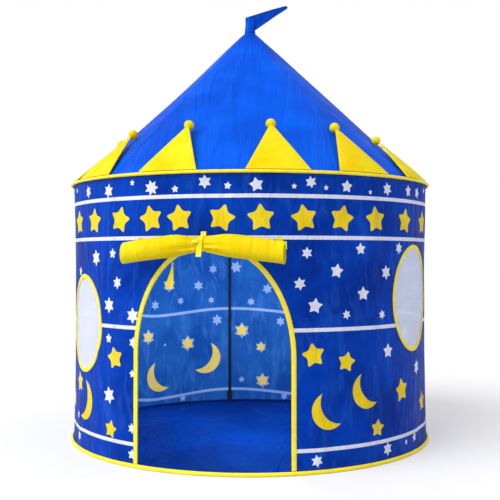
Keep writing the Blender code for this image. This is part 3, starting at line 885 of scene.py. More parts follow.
@dataclass(frozen=True)
class Moulded:
    """Hard finish with a fine grain: moulded nylon, pultruded glass fibre or drawn steel.

    The eye gets the dull gleam of the material, broken up by its grain and by handling.
    """

    name: str
    colour: str
    worn_colour: str
    roughness: float
    grain: float
    metallic: float = 0.0
    coat: float = 0.0

    def make(self) -> bpy.types.Material:
        """Build the material.

        Returns:
            The material.
        """
        r = Recipe(self.name)
        grain = r.cloud(r.place(), 1 / self.grain, 4.0)
        return r.shade(
            Base_Color=r.tint(grain, self.colour, self.worn_colour),
            Roughness=r.ramp(grain, low=self.roughness - 0.1, high=self.roughness + 0.12),
            Normal=r.relief(grain, 0.2, 0.2 * MM),
            Metallic=self.metallic,
            Coat_Weight=self.coat,
        )


@dataclass(frozen=True)
class Wardrobe:
    """Every finish of the tent, made once."""

    # The wall, inside and roof cloths carry painted highlights along their folds, and every
    # taffeta and tape has soft patches of painted shade
    wall: Finish = Taffeta(
        "taffeta_wall_blue", "#0047C6", "#0034A2", highlight_strength=0.2, shine=0.05, roughness=0.45
    ).make()
    wall_white: Finish = Taffeta("taffeta_printed_white", "#F8F8FF", "#ECEEFC").make()
    wall_yellow: Finish = Taffeta("taffeta_printed_yellow", "#FFE82E", "#F2D61C").make()
    inside: Finish = Taffeta(
        "taffeta_wall_inside", "#2A70BC", "#1858A8", highlight_strength=0.4, highlight_colour="#5C98E0"
    ).make()
    inside_white: Finish = Taffeta("taffeta_inside_white", "#A6C4EA", "#90B4E2").make()
    inside_yellow: Finish = Taffeta("taffeta_inside_yellow", "#FFEC7A", "#FFE06C").make()
    roof: Finish = Taffeta(
        "taffeta_roof_blue",
        "#0064F2",
        "#004CD2",
        roughness=0.45,
        shine=0.04,
        crinkle_size=55 * MM,
        highlight_strength=0.22,
        highlight_colour="#1E7CFF",
        streak_length=320 * MM,
        streak_depth=9 * MM,
    ).make()
    pennant: Finish = Taffeta("taffeta_pennant_blue", "#0250D0", "#013CB0").make()
    yellow: Finish = Taffeta(
        "taffeta_yellow", "#FFF424", "#FFDC02", roughness=0.52, crinkle_size=30 * MM
    ).make()
    floor: Finish = Taffeta(
        "coated_floor_cloth", "#013E9C", "#012C78", light_through=0.05, crinkle_size=110 * MM
    ).make()
    tape: Finish = Tape("binding_tape_yellow", "#FFEC05", "#F7DD00").make()
    thread: Finish = Tape("sewing_thread_yellow", "#E8D21A", "#D8BE10", rib_pitch=MM).make()
    blue_thread: Finish = Tape("sewing_thread_blue", "#1E50D6", "#1542BC", rib_pitch=MM).make()
    net: Finish = Netting().make()
    nylon: Finish = Moulded("moulded_nylon_black", "#15161A", "#25272C", 0.48, 3 * MM).make()
    rod: Finish = Moulded(
        "pultruded_glass_fibre_black", "#101114", "#1E2026", 0.32, 6 * MM, coat=0.2
    ).make()
    wire: Finish = Moulded(
        "drawn_spring_steel", "#A9ABB0", "#8C8E94", 0.34, 4 * MM, metallic=1.0
    ).make()


# The printed pattern


class Ink(Enum):
    """Colour of a printed motif, as the material slot of the wall's outer side."""

    CLOTH = 0
    WHITE = 1
    YELLOW = 2


@dataclass(frozen=True)
class Star:
    """Printed star with rounded points."""

    angle: float
    height: float
    size: float
    tilt: float = 0.0
    points: int = 5
    ink: Ink = Ink.WHITE
    waist: float = 0.55
    rounding: float = 0.18

    def outline(self, drum: Drum) -> Outline:
        """Edge of the star on the flat cloth.

        Args:
            drum: Drum that carries the cloth.

        Returns:
            Closed edge.
        """
        corners = []
        for at in range(2 * self.points):
            reach = self.size / 2 * (1.0 if at % 2 == 0 else self.waist)
            turn = math.radians(self.tilt) + math.pi * (0.5 + at / self.points)
            corners.append(Vector((reach * math.cos(turn), reach * math.sin(turn))))
        centre = Vector((drum.place_of(self.angle), self.height))
        outline = []
        for at, corner in enumerate(corners):
            near, far = corners[at - 1], corners[(at + 1) % len(corners)]
            share = self.rounding if at % 2 == 0 else self.rounding * 0.7
            start, end = corner.lerp(near, share), corner.lerp(far, share)
            for step in range(4):
                t = step / 3
                bend = start.lerp(corner, t).lerp(corner.lerp(end, t), t)
                outline.append(tuple(centre + bend))
        return outline


@dataclass(frozen=True)
class Crescent:
    """Printed crescent moon. facing is the way that its horns point, 0 towards +angle."""

    angle: float
    height: float
    facing: float
    size: float = 92 * MM
    horn: float = 80.0
    hollow_shift: float = 0.78
    ink: Ink = Ink.YELLOW

    def outline(self, drum: Drum) -> Outline:
        """Edge of the moon on the flat cloth.

        Args:
            drum: Drum that carries the cloth.

        Returns:
            Closed edge.
        """
        radius = self.size / 2
        horn = math.radians(self.horn)
        shift = radius * self.hollow_shift
        hollow = math.hypot(radius * math.cos(horn) - shift, radius * math.sin(horn))
        inner = math.atan2(radius * math.sin(horn), radius * math.cos(horn) - shift)
        points = []
        outer_steps, inner_steps = 24, 18
        for step in range(outer_steps + 1):
            turn = horn + 2 * (math.pi - horn) * step / outer_steps
            points.append((radius * math.cos(turn), radius * math.sin(turn)))
        for step in range(1, inner_steps):
            turn = 2 * math.pi - inner - 2 * (math.pi - inner) * step / inner_steps
            points.append((shift + hollow * math.cos(turn), hollow * math.sin(turn)))
        way = math.radians(self.facing)
        centre = drum.place_of(self.angle)
        return [
            (
                centre + x * math.cos(way) - y * math.sin(way),
                self.height + x * math.sin(way) + y * math.cos(way),
            )
            for x, y in points
        ]


def white(rows: Iterable[tuple]) -> list[Star]:
    """White stars from rows of angle, height and size in millimetres, tilt and points."""
    return [Star(a, z * MM, s * MM, *rest) for a, z, s, *rest in rows]


def gold(rows: Iterable[tuple]) -> list[Star]:
    """Yellow scattered stars from rows of angle, height, size in millimetres and tilt.

    Args:
        rows: One row for each star.

    Returns:
        The stars.
    """
    return [
        Star(a, z * MM, s * MM, tilt, ink=Ink.YELLOW, waist=0.53, rounding=0.36)
        for a, z, s, tilt in rows
    ]


@dataclass(frozen=True)
class NightSkyPrint:
    """Common night-sky print: white stripes, a band of big stars, scattered stars and moons."""

    stripes: tuple[float, ...] = (0.057, 0.347, 0.570, 0.670)
    stripe_width: float = 9.5 * MM
    band_height: float = 0.617
    band_size: float = 76.3 * MM
    # Seen from the front the big stars are a little uneven, and elsewhere they follow their pitch
    band_front: tuple[float, ...] = (
        -54.6, -41.5, -28.6, -17.4, -8.6, 3.2, 13.7, 25.55, 36.7, 48.5, 62.6, 78.0,
    )
    band_pitch: float = 12.1
    band_tilts: tuple[float, ...] = (4, -6, -14, 12, 8, -15, 4, 10, -12, 6, -8, 3)

    def band(self) -> list[Star]:
        """Big yellow stars round the whole wall.

        Returns:
            The stars.
        """
        first, last = self.band_front[0], self.band_front[-1]
        count = round((first + 360 - last) / self.band_pitch)
        pitch = (first + 360 - last) / count
        angles = [*self.band_front, *(last + pitch * at for at in range(1, count))]
        return [
            Star(
                angle,
                self.band_height,
                self.band_size,
                self.band_tilts[at % len(self.band_tilts)],
                ink=Ink.YELLOW,
                waist=0.5,
                rounding=0.42,
            )
            for at, angle in enumerate(angles)
        ]

    def top_strip(self) -> list[Star]:
        """Small white stars under the eave.

        Returns:
            The stars.
        """
        front = white(
            [
                (-45.6, 696, 36, 10, 6), (-33.7, 692, 39, -8, 6), (-23.9, 708, 17, 0),
                (-17.2, 693, 41, 14, 7), (-9.9, 688, 20, 6), (-1.4, 704, 35, 0, 6),
                (4.8, 694, 20, -8), (12.5, 696, 37, 12), (22.7, 693, 15, 0),
                (27.4, 704, 31, 10, 6), (31.8, 691, 14, 0), (38.2, 696, 34, -4),
                (46.4, 685, 13, 0), (53.4, 696, 36, 8, 6), (64.7, 697, 35, 4),
            ]
        )
        sizes, heights = (34, 16, 37, 20), (696, 706, 692, 688)
        first, pitch, count = 72.0, 7.0, 34
        rest = [
            (first + pitch * at, heights[at % 4], sizes[at % 4], 23 * at % 40 - 20, 5 + at % 2)
            for at in range(count)
        ]
        return front + white(rest)

    def right_scatter(self, turned: float = 0.0) -> list[Star | Crescent]:
        """Motifs to the right of the doorway, turned round the tent for their repeats.

        Args:
            turned: Degrees by which all are moved.

        Returns:
            Stars and moons.
        """
        whites = white(
            [
                (26.3, 533, 30, 0, 6), (42.9, 543, 32, 4), (59.3, 546, 32, -6, 6),
                (35.1, 489, 38, -10), (52.9, 484, 39, 4, 6), (24.3, 459, 33, 8, 6),
                (43.8, 432, 38, 0), (28.6, 405, 41, -8), (38.2, 382, 25, 12, 6),
                (51.1, 378, 25, 10, 6), (53.8, 284, 40, 0), (72.3, 226, 44, 5, 6),
                (53.6, 35, 37, 0, 6), (29.1, 31, 32, 8, 6), (63.4, 38, 16, 0),
                (69.3, 42, 28, 12),
            ]
        )
        golds = gold(
            [
                (28.2, 286, 66, 10), (38.2, 266, 56, -12), (60.9, 177, 70, 8),
                (49.3, 93, 50, -6), (78.6, 125, 64, 6),
            ]
        )
        moons = [Crescent(32.8, 0.150, 34), Crescent(45.3, 0.192, 36)]
        return [replace(motif, angle=motif.angle + turned) for motif in whites + golds + moons]

    def left_scatter(self) -> list[Star | Crescent]:
        """Motifs to the left of the doorway.

        Returns:
            Stars and moons.
        """
        whites = white(
            [
                (-40.6, 521, 45, 4, 6), (-31.8, 532, 28, -4), (-29.8, 458, 34, 8, 6),
                (-33.5, 400, 43, 0, 6), (-23.8, 377, 42, 0, 6), (-33.7, 315, 27, 0),
                (-33.4, 170, 47, 10, 6), (-54.0, 484, 30, -6), (-23.6, 310, 30, 0, 6),
                (-23.9, 232, 22, 8), (-55.1, 92, 26, 4), (-53.2, 37, 28, 0, 6),
                (-24.0, 96, 28, 6, 6), (-24.0, 31, 28, -6), (-62.0, 300, 24, 8),
            ]
        )
        golds = gold([(-30.9, 267, 64, 12), (-32.8, 84, 52, -10), (-53.8, 183, 62, 8)])
        return whites + golds + [Crescent(-49.0, 0.141, 160, size=108 * MM)]

    def back_scatter(self) -> list[Star | Crescent]:
        """Motifs of the back, where the doorway shows them from inside.

        Each yellow star there is printed over a white one, which shows as a pale edge.

        Returns:
            Stars and moons.
        """
        whites = white(
            [
                (205.8, 479, 34, 0, 6), (211.8, 420, 38, 0, 6), (230.8, 355, 36, 5, 6),
                (219.5, 367, 28, 0, 6), (206.5, 368, 24, 0, 6), (204.2, 296, 42, 0, 6),
                (196.5, 486, 46, 20, 6), (190.4, 361, 30, 10, 6), (183.8, 408, 40, 10, 6),
                (178.4, 291, 36, 0, 6), (226.3, 215, 12, 0), (194.2, 80, 24, 0),
                (218.4, 22, 26, 0), (177.0, 22, 28, 0, 6), (238.0, 446, 30, -4),
                (171.0, 430, 30, 5), (228.0, 520, 30, 0), (182.0, 520, 30, -8, 6),
            ]
        )
        rows = (
            (234.0, 246, 48, 6), (216.3, 216, 52, -10), (194.1, 258, 52, 4), (186.4, 198, 38, 12),
            (185.7, 77, 50, -4), (224.4, 424, 46, 0), (170.0, 150, 52, 0),
        )
        under = white([(a, z, 1.16 * size, 0, 6) for a, z, size, _ in rows])
        moons = [Crescent(228.5, 0.106, 148, 106 * MM), Crescent(209.0, 0.162, 32, 112 * MM)]
        return whites + under + gold(rows) + moons

    def motifs(self) -> list[Star | Crescent]:
        """Every motif round the tent. The unseen sides repeat the right side's layout.

        Returns:
            Stars and moons, later ones printed over earlier ones.
        """
        sides = white(
            [
                (131.0, 420, 32, 4), (126.0, 350, 28, 0, 6), (139.0, 480, 26, 8),
                (-82.0, 420, 32, -6, 6), (-88.0, 350, 26, 0), (-74.0, 480, 28, 8),
            ]
        )
        return (
            self.band()
            + self.top_strip()
            + self.right_scatter()
            + self.left_scatter()
            + self.back_scatter()
            + self.right_scatter(64.0)
            + self.right_scatter(-143.5)
            + sides
        )


# Walls


@dataclass
class PrintedWalls:
    """Five printed wall panels, sewn to each other over the poles."""

    drum: Drum
    doorway: Doorway
    windows: list[OvalWindow]
    pattern: NightSkyPrint
    wardrobe: Wardrobe
    grid: float = 9 * MM
    # Every second row of the grid is moved along by this share of its step
    row_shift: float = 0.45
    edge_step: float = 6 * MM
    names: tuple[str, ...] = ("back_left", "left", "door", "right", "back")
    overrun: float = 20 * MM
    # How far the doorway's cut runs on below the wall's lower edge
    cut_past: float = 5 * MM
    stripe_steps: int = 60
    # How far the two lower stripes hang down at the back pole, and more between the poles
    back_sink: float = 10 * MM
    span_sink: float = 20 * MM
    # Degrees from the back pole at which they start to rise, and at which they are level again
    sunk: tuple[float, float] = (30.0, 65.0)

    def sink(self, place: float, height: float) -> float:
        """How far a stripe hangs down at a place, where the back panels are cut a little low.

        Args:
            place: Place along the wall.
            height: Height of the stripe's middle.

        Returns:
            Distance downwards.
        """
        if height > self.drum.eave / 2:
            return 0.0
        angle = self.drum.angle_at(place)
        near = 1 - smooth_step(*self.sunk, abs(apart(angle, self.drum.poles[0])))
        span = math.sin(math.pi * self.drum.between_poles(angle)) ** 2
        return (self.back_sink + self.span_sink * span) * near

    def holes(self, first: float, last: float) -> list[Outline]:
        """Outlines cut out of the panel between two angles.

        Args:
            first: Angle of the first pole seam.
            last: Angle of the last pole seam.

        Returns:
            Closed outlines on the flat cloth.
        """
        cuts = [w.outline(self.drum) for w in self.windows if first < w.angle < last]
        if first < 0 < last:
            cuts.append(self.doorway.outline(self.drum.foot - self.cut_past))
        return cuts

    def shapes(self, first: float, last: float) -> list[tuple[Outline, Ink]]:
        """Printed shapes that reach into the panel between two angles.

        Args:
            first: Angle of the first pole seam.
            last: Angle of the last pole seam.

        Returns:
            Outline and ink of each, later ones printed over earlier ones.
        """
        drum, pattern = self.drum, self.pattern
        left, right = drum.place_of(first), drum.place_of(last)
        found: list[tuple[Outline, Ink]] = []
        places = np.linspace(left - self.overrun, right + self.overrun, self.stripe_steps)
        for middle in pattern.stripes:
            half = pattern.stripe_width / 2
            edge = [(place, middle - self.sink(place, middle)) for place in places]
            low, high = ([(x, z + side * half) for x, z in edge] for side in (-1, 1))
            found.append((low + high[::-1], Ink.WHITE))
        whole = drum.place_of(360)
        for motif in pattern.motifs():
            outline = motif.outline(drum)
            for turn in (-whole, 0.0, whole):
                moved = [(x + turn, y) for x, y in outline]
                if max(x for x, _ in moved) > left and min(x for x, _ in moved) < right:
                    found.append((moved, motif.ink))
        return found

    def pattern_mesh(self, name: str, first: float, last: float) -> tuple[bpy.types.Mesh, float]:
        """Cut and print one panel flat, then lay it round the drum.

        Args:
            name: Name of the mesh.
            first: Angle of its first pole seam.
            last: Angle of its last pole seam.

        Returns:
            Its outer side as a mesh, and the flat area of the cut.
        """
        drum = self.drum
        left = drum.place_of(first) + drum.seam_gap / 2
        right = drum.place_of(last) - drum.seam_gap / 2
        border = [(left, drum.foot), (right, drum.foot), (right, drum.eave), (left, drum.eave)]
        holes = self.holes(first, last)
        shapes = self.shapes(first, last)
        loops = [dense(border, self.edge_step)]
        loops += [dense(hole, self.edge_step) for hole in holes]
        loops += [dense(outline, self.edge_step) for outline, _ in shapes]
        points: list[Vector] = []
        faces: list[list[int]] = []
        for loop in loops:
            loop = anticlockwise(loop)
            faces.append(list(range(len(points), len(points) + len(loop))))
            points += [Vector(p) for p in loop]
        columns = math.ceil((right - left) / self.grid)
        rows = math.ceil((drum.eave - drum.foot) / self.grid)
        for i in range(1, columns):
            for j in range(1, rows):
                x = left + (right - left) * (i + j % 2 * self.row_shift) / columns
                points.append(Vector((x, drum.foot + (drum.eave - drum.foot) * j / rows)))
        flat, _, triangles, _, _, sources = delaunay_2d_cdt(points, [], faces, 1, 1e-6, True)
        outside, first_shape = set(range(1, 1 + len(holes))), 1 + len(holes)
        kept, inks = [], []
        for triangle, source in zip(triangles, sources):
            if 0 not in source or outside.intersection(source):
                continue
            top = max(source)
            kept.append(triangle)
            inks.append((shapes[top - first_shape][1] if top >= first_shape else Ink.CLOTH).value)
        used = sorted({corner for triangle in kept for corner in triangle})
        place = {old: new for new, old in enumerate(used)}
        mesh = bpy.data.meshes.new(name)
        mesh.from_pydata(
            [drum.point(*flat[old]) for old in used],
            [],
            [[place[corner] for corner in triangle] for triangle in kept],
        )
        mesh.polygons.foreach_set("material_index", inks)
        lay_flat(mesh, lambda at: flat[used[at]])
        a, b, c = (np.array([flat[t[k]] for t in kept]) for k in range(3))
        area = float(np.abs(np.cross(b - a, c - a)).sum() / 2)
        return mesh, area

    def build(self) -> list[bpy.types.Object]:
        """Returns:
            The five panels.
        """
        w = self.wardrobe
        finishes = [w.wall, w.wall_white, w.wall_yellow, w.inside, w.inside_white, w.inside_yellow]
        made = []
        for name, (first, last) in zip(self.names, self.drum.panels()):
            mesh, area = self.pattern_mesh(f"{name}_wall_cloth", first, last)
            piece = thicken(link(mesh.name, mesh, finishes), self.drum.cloth, inner_slots=3)
            width = self.drum.place_of(last) - self.drum.place_of(first)
            declare(piece, "root", "wall_cloth", f"wall_panel_{name}")
            made.append(piece)
        return made


# Roof


@dataclass(frozen=True)
class Cone:
    """The roof's cone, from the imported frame: its foot lies on the wall's upper edge."""

    drum: Drum
    peak: float = 1.204
    hole: float = 14 * MM
    sag: float = 16 * MM
    sag_skew: float = 0.76

    @property
    def foot_radius(self) -> float:
        """Distance from the axis at which the roof meets the wall."""
        return self.drum.radius - self.drum.cloth

    @property
    def rise(self) -> float:
        """Height gained for each metre towards the axis."""
        return (self.peak - self.drum.eave - 0.3 * MM) / self.foot_radius

    @property
    def normal(self) -> tuple[float, float]:
        """Outward and upward parts of the cone's unit normal."""
        turn = math.atan(self.rise)
        return math.sin(turn), math.cos(turn)

    def point(self, angle: float, share: float, over: float = 0.0) -> Vector:
        """Point at a share of the way up the slope, lifted off the plain cone by over.

        Args:
            angle: Angle round the tent in degrees.
            share: Share of the way up, from 0 to 1.
            over: Distance off the plain cone.

        Returns:
            Point in the shared frame.
        """
        radius = self.foot_radius + (self.hole - self.foot_radius) * share
        out, up = self.normal
        flat = direction(angle) * (radius + over * out)
        return Vector((flat.x, flat.y, self.peak - radius * self.rise + over * up))


@dataclass
class RoofCloth:
    """Cone of blue cloth in five gores, pulled over the roof poles and hanging in between them.

    The extra creases run from the peak, where the cloth is drawn tight between two poles.
    """

    cone: Cone
    wardrobe: Wardrobe
    # Middles of the crown's balls, which press the cloth in, and their radius
    balls: list[Vector]
    ball: float
    rows: int = 72
    column_angle: float = 1.5
    # Further columns beside each pole's seam, in degrees from it
    seam_columns: tuple[float, ...] = (-0.9, -0.5, 0.0, 0.5, 0.9)
    # Radius at which the flat plan stops narrowing, so that the weave stays even at the peak
    peak_plan: float = 50 * MM
    seam_height: float = 0.9 * MM
    seam_width: float = 5.0 * MM
    gather: float = 1.6 * MM
    # Where the cloth is drawn tight between two poles: angle, height in mm and width in degrees
    creases: tuple[tuple[float, float, float], ...] = (
        (-1.5, 6.5, 3.4), (32.0, 6.5, 3.0), (14.0, 2.6, 3.0), (62.0, 3.6, 2.6),
        (84.0, 11.0, 13.0), (-64.0, 7.0, 9.0), (-46.0, 2.2, 3.0), (-122.0, 3.6, 4.0),
        (143.0, 3.6, 4.0), (171.0, 3.6, 4.0),
    )
    dent: float = 34 * MM

    def lift(self, angle: float, share: float) -> float:
        """How far the cloth's outer face stands off the plain cone.

        Args:
            angle: Angle round the tent in degrees.
            share: Share of the way up, from 0 to 1.

        Returns:
            Distance in metres, outwards.
        """
        cone, drum = self.cone, self.cone.drum
        radius = cone.foot_radius + (cone.hole - cone.foot_radius) * share
        depth = cone.sag * max(math.sin(math.pi * share**cone.sag_skew), 0.0)
        across = drum.between_poles(angle)
        span = math.sin(math.pi * across) ** 2
        lift = drum.cloth - depth * span
        for pole in drum.poles:
            away = math.radians(apart(angle, pole)) * radius
            lift += self.seam_height * bump(away, 0.0, self.seam_width)
        for middle, height, width in self.creases:
            sharp = math.exp(-abs(apart(angle, middle)) / width)
            lift += height * MM * sharp * math.sin(math.pi * min(share * 1.05, 1.0)) ** 0.8 * span
        edge = bump(share, 0.0, 0.12) + 0.8 * bump(share, 0.93, 0.12)
        folds = seamless(angle, 16.0, (0, 0, share * 1.5))
        broad = seamless(angle, 3.2, (5.0, 0, share * 2.6))
        hold = smooth_step(0.0, 0.02, share) * smooth_step(1.0, 0.97, share) if share < 1 else 0.0
        lift += self.gather * (folds * (0.3 + edge) + broad * 1.3) * (0.2 + 0.8 * span) * hold
        return lift - self.pressed(angle, share, lift)

    def pressed(self, angle: float, share: float, lift: float) -> float:
        """How far the nearest ball presses the cloth in at a point that stands at a lift.

        Args:
            angle: Angle round the tent in degrees.
            share: Share of the way up, from 0 to 1.
            lift: How far the cloth would stand off the plain cone.

        Returns:
            Distance in metres, inwards.
        """
        up = self.cone.normal[1]
        plain = self.cone.point(angle, share)
        deep = 0.0
        for ball in self.balls:
            away = ball - plain
            if away.length > 3 * self.dent:
                continue
            radius = math.hypot(ball.x, ball.y)
            over = (ball.z - self.cone.peak + radius * self.cone.rise) * up
            along = math.sqrt(max(away.length_squared - over * over, 0.0))
            depth = max(lift - (over - self.ball - 1 * MM), 0.0)
            deep = max(deep, depth * math.exp(-((along / self.dent) ** 2)))
        return deep

    def build(self) -> bpy.types.Object:
        """Returns:
            The roof cloth.
        """
        cone, drum = self.cone, self.cone.drum
        columns = round(360 / self.column_angle)
        angles = {round(-180 + self.column_angle * at, 3) for at in range(columns)}
        for pole in drum.poles:
            beside = (pole + away for away in self.seam_columns)
            angles |= {round(apart(angle, 0.0), 3) for angle in beside}
        order = sorted(angles)
        slope = math.hypot(cone.foot_radius, cone.peak - drum.eave)
        rows = []
        for row in range(self.rows + 1):
            share = row / self.rows
            rows.append([cone.point(angle, share, self.lift(angle, share)) for angle in order])

        def flat_at(row: int, column: int) -> tuple[float, float]:
            """Each gore is cut with its yarns along its own middle.

            Args:
                row: Row of the point, from the eave.
                column: Its place in the row.

            Returns:
                Flat place in metres.
            """
            radius = cone.foot_radius * (1 - row / self.rows)
            aside = math.radians(drum.from_gore_middle(order[column]))
            return aside * max(radius, self.peak_plan), slope * row / self.rows

        mesh = skin("roof_cloth", rows, (False, True))
        lay_rows(mesh, len(order), flat_at)
        piece = thicken(link("roof_cloth", mesh, [self.wardrobe.roof]), drum.cloth)
        declare(piece, "root", "roof_cloth", *(f"roof_gore_{number}" for number in range(1, 6)))
        return piece


# Tapes, bindings and nets


@dataclass
class Trim:
    """Folded tapes round the hoops, the doorway and the windows, and the nets in the windows."""

    drum: Drum
    doorway: Doorway
    windows: list[OvalWindow]
    wardrobe: Wardrobe
    base_radius: float = 5.0 * MM
    eave_radius: float = 4.0 * MM
    tape_cloth: float = 0.9 * MM
    slot_share: float = 0.05
    binding_width: float = 10.5 * MM
    binding_rise: float = 1.7 * MM
    gap: float = 0.3 * MM
    pucker: float = 0.35 * MM
    step: float = 4.5 * MM
    stations: int = 540
    # How far inside the window's edge the net ends, and the spacing of its points
    net_inside: float = 1.8 * MM
    net_edge: float = 6 * MM
    net_grid: float = 9 * MM

    def hoop_tape(
        self, name: str, ring: float, height: float, radius: float, node: str, lined: bool = False
    ) -> bpy.types.Object:
        """Tape sewn into a tube round a spring hoop, open in a narrow slot towards the axis.

        Args:
            name: Name of the piece.
            ring: Distance of the tube's middle from the tent's axis.
            height: Height of the tube's middle.
            radius: Outer radius of the tube.
            node: CAD node that the tape stands for.
            lined: Whether the side towards the axis is of floor cloth.

        Returns:
            The tape.
        """
        sides = 22
        rows, across = [], 2 * math.pi * radius / sides
        for station in range(self.stations):
            ray = direction(360 * station / self.stations)
            row = []
            for inner in (False, True):
                slot, tube = self.slot_share, 1 - 2 * self.slot_share
                turns = [
                    math.pi + 2 * math.pi * (slot + tube * k / sides) for k in range(sides + 1)
                ]
                for turn in reversed(turns) if inner else turns:
                    puffed = self.pucker * noise.noise(ray * 60.0 + Vector((0, 0, turn * 0.6)))
                    reach = radius - self.tape_cloth if inner else radius + min(puffed, 0.15 * MM)
                    flat = ray * (ring + reach * math.cos(turn))
                    row.append(Vector((flat.x, flat.y, height + reach * math.sin(turn))))
            rows.append(row)
        mesh = skin(name, rows, (True, True))
        along = 2 * math.pi * ring / self.stations
        lay_rows(mesh, len(rows[0]), lambda row, column: (along * row, across * column))
        if lined:
            for face in mesh.polygons:
                face.material_index = int(face.center.to_2d().length < ring - 0.25 * radius)
        return self.dressed(link(name, mesh, [self.wardrobe.tape, self.wardrobe.floor]), node)

    def dressed(self, piece: bpy.types.Object, node: str) -> bpy.types.Object:
        """Shade a tape and let it stand for its CAD node."""
        return declare(soften(piece), "root", "yellow_tape", node)

    def edge_section(self) -> list[tuple[float, float]]:
        """Folded tape as (out from the cut edge into the cloth, height over the cloth).

        Returns:
            Closed section.
        """
        w, g, t, c = self.binding_width, self.gap, self.binding_rise, self.drum.cloth
        pressed = t - 0.45 * MM
        over = [(w, g + 0.2 * MM), (w - 0.3 * MM, pressed), (w - 2.0 * MM, pressed)]
        over += [(w - 3.6 * MM, t), (w / 2, t + 0.15 * MM), (0.5 * MM, t), (-1.0 * MM, t * 0.62)]
        under = [(x, -c - y) for x, y in reversed(over)]
        lining = [(w, -c - g), (w / 2, -c - g), (-g, -c - g), (-g, g), (w / 2, g), (w, g)]
        return [*over, (-1.5 * MM, -c / 2), *under, *lining]

    def window_section(self) -> list[tuple[float, float]]:
        """Tape with a groove on both sides: the wall outside it and the net inside it.

        Returns:
            Closed section.
        """
        half, g, t, c = self.binding_width / 2, self.gap, self.binding_rise, self.drum.cloth
        web = 1.2 * MM
        end = -half - web
        over = [(half, g + 0.2 * MM), (half - 0.4 * MM, t - 0.4 * MM)]
        over += [(half - 1.8 * MM, t - 0.3 * MM), (0.8 * MM, t + 0.1 * MM)]
        over += [(-2.4 * MM, t + 0.1 * MM), (-half, t - 0.3 * MM), (end, g + 0.2 * MM)]
        under = [(x, -c - y) for x, y in reversed(over)]
        net_groove = [(end, g), (-g - web, g), (-g - web, -c - g), (end, -c - g)]
        wall_groove = [(half, -c - g), (-g, -c - g), (-g, g), (half, g)]
        return [*over, *net_groove, *under, *wall_groove]

    def binding(
        self,
        name: str,
        outline_at: Callable[[float], Outline],
        section: list[tuple[float, float]],
        node: str,
        closed: bool,
    ) -> bpy.types.Object:
        """Tape folded over a cut edge of the wall.

        Args:
            name: Name of the piece.
            outline_at: Gives the edge's outline, moved into the cloth by a distance.
            section: Section as (out from the edge, height over the cloth).
            node: CAD node that the tape stands for.
            closed: Whether the edge closes round.

        Returns:
            The tape.
        """
        drum = self.drum

        def edges(outline: Outline) -> list[tuple]:
            """Start and end of each straight part."""
            return list(zip(outline, outline[1:] + (outline[:1] if closed else [])))

        parts = [max(1, round(math.dist(a, b) / self.step)) for a, b in edges(outline_at(0.0))]
        paths = []
        for out, over in section:
            outline = outline_at(out)
            path: Outline = []
            for (a, b), count in zip(edges(outline), parts):
                path += [
                    (a[0] + (b[0] - a[0]) * k / count, a[1] + (b[1] - a[1]) * k / count)
                    for k in range(count)
                ]
            if not closed:
                path.append(outline[-1])
            paths.append((path, over))
        rows = []
        for at in range(len(paths[0][0])):
            row = []
            for path, over in paths:
                x, y = path[at]
                swell = self.pucker * noise.noise(Vector((x * 75, y * 75, 2.0)))
                # Only the two faces of the tape swell, not its grooves
                outward = over > self.gap + 0.3 * MM
                inward = over < -drum.cloth - self.gap - 0.3 * MM
                row.append(drum.point(x, y, over + swell * (outward - inward)))
            rows.append(row)
        mesh = skin(name, rows, (closed, True), () if closed else end_caps(rows))
        lay_rows(mesh, len(rows[0]), lambda row, column: (self.step * row, 2 * MM * column))
        return self.dressed(link(name, mesh, [self.wardrobe.tape]), node)

    def net(self, window: OvalWindow) -> bpy.types.Object:
        """Net that fills a window, a little slack.

        Args:
            window: Window that it fills.

        Returns:
            The net.
        """
        drum = self.drum
        border = dense(window.outline(drum, grow=-self.net_inside), self.net_edge)
        points = [Vector(p) for p in border]
        centre = Vector((drum.place_of(window.angle), window.middle))
        pitch = self.net_grid
        count = math.ceil(window.height / pitch)
        for i in range(-count, count + 1):
            for j in range(-count, count + 1):
                away = Vector((i * pitch, j * pitch))
                if math.hypot(away.x / window.width, away.y / window.height) < 0.46:
                    points.append(centre + away)
        flat, _, triangles, _, _, sources = delaunay_2d_cdt(
            points, [], [list(range(len(border)))], 1, 1e-6, True
        )
        placed = []
        for x, y in flat:
            across, up = (x - centre.x) / window.width, (y - window.middle) / window.height
            inside = 1 - min(1.0, 4 * (across**2 + up**2))
            fold = noise.noise(Vector((x * 16, y * 5, 4.0)))
            placed.append(drum.point(x, y, -drum.cloth / 4 - (2.5 + 2.5 * fold) * MM * inside))
        mesh = bpy.data.meshes.new(f"{window.name}_netting")
        mesh.from_pydata(placed, [], [list(t) for t, s in zip(triangles, sources) if 0 in s])
        lay_flat(mesh, lambda at: flat[at])
        piece = thicken(link(mesh.name, mesh, [self.wardrobe.net]), 0.4 * MM)
        declare(piece, "root", "window_net", f"{window.name}_net")
        return piece

    def build(self) -> None:
        """Make every tape and net."""
        drum = self.drum
        radius = self.eave_radius
        ring = drum.radius + self.gap + 2 * radius
        self.hoop_tape("eave_tape", ring - radius, drum.eave, radius, "eave_binding")
        radius = self.base_radius
        self.hoop_tape("base_tape", ring - radius, radius, radius, "base_binding", lined=True)
        foot = 2 * self.base_radius + self.gap
        self.binding(
            "doorway_tape",
            lambda grow: self.doorway.outline(foot, grow),
            self.edge_section(),
            "door_binding",
            closed=False,
        )
        for window in self.windows:
            self.binding(
                f"{window.name}_tape",
                lambda grow, window=window: window.outline(drum, grow),
                self.window_section(),
                f"{window.name}_binding",
                closed=True,
            )
            self.net(window)


# Stitching


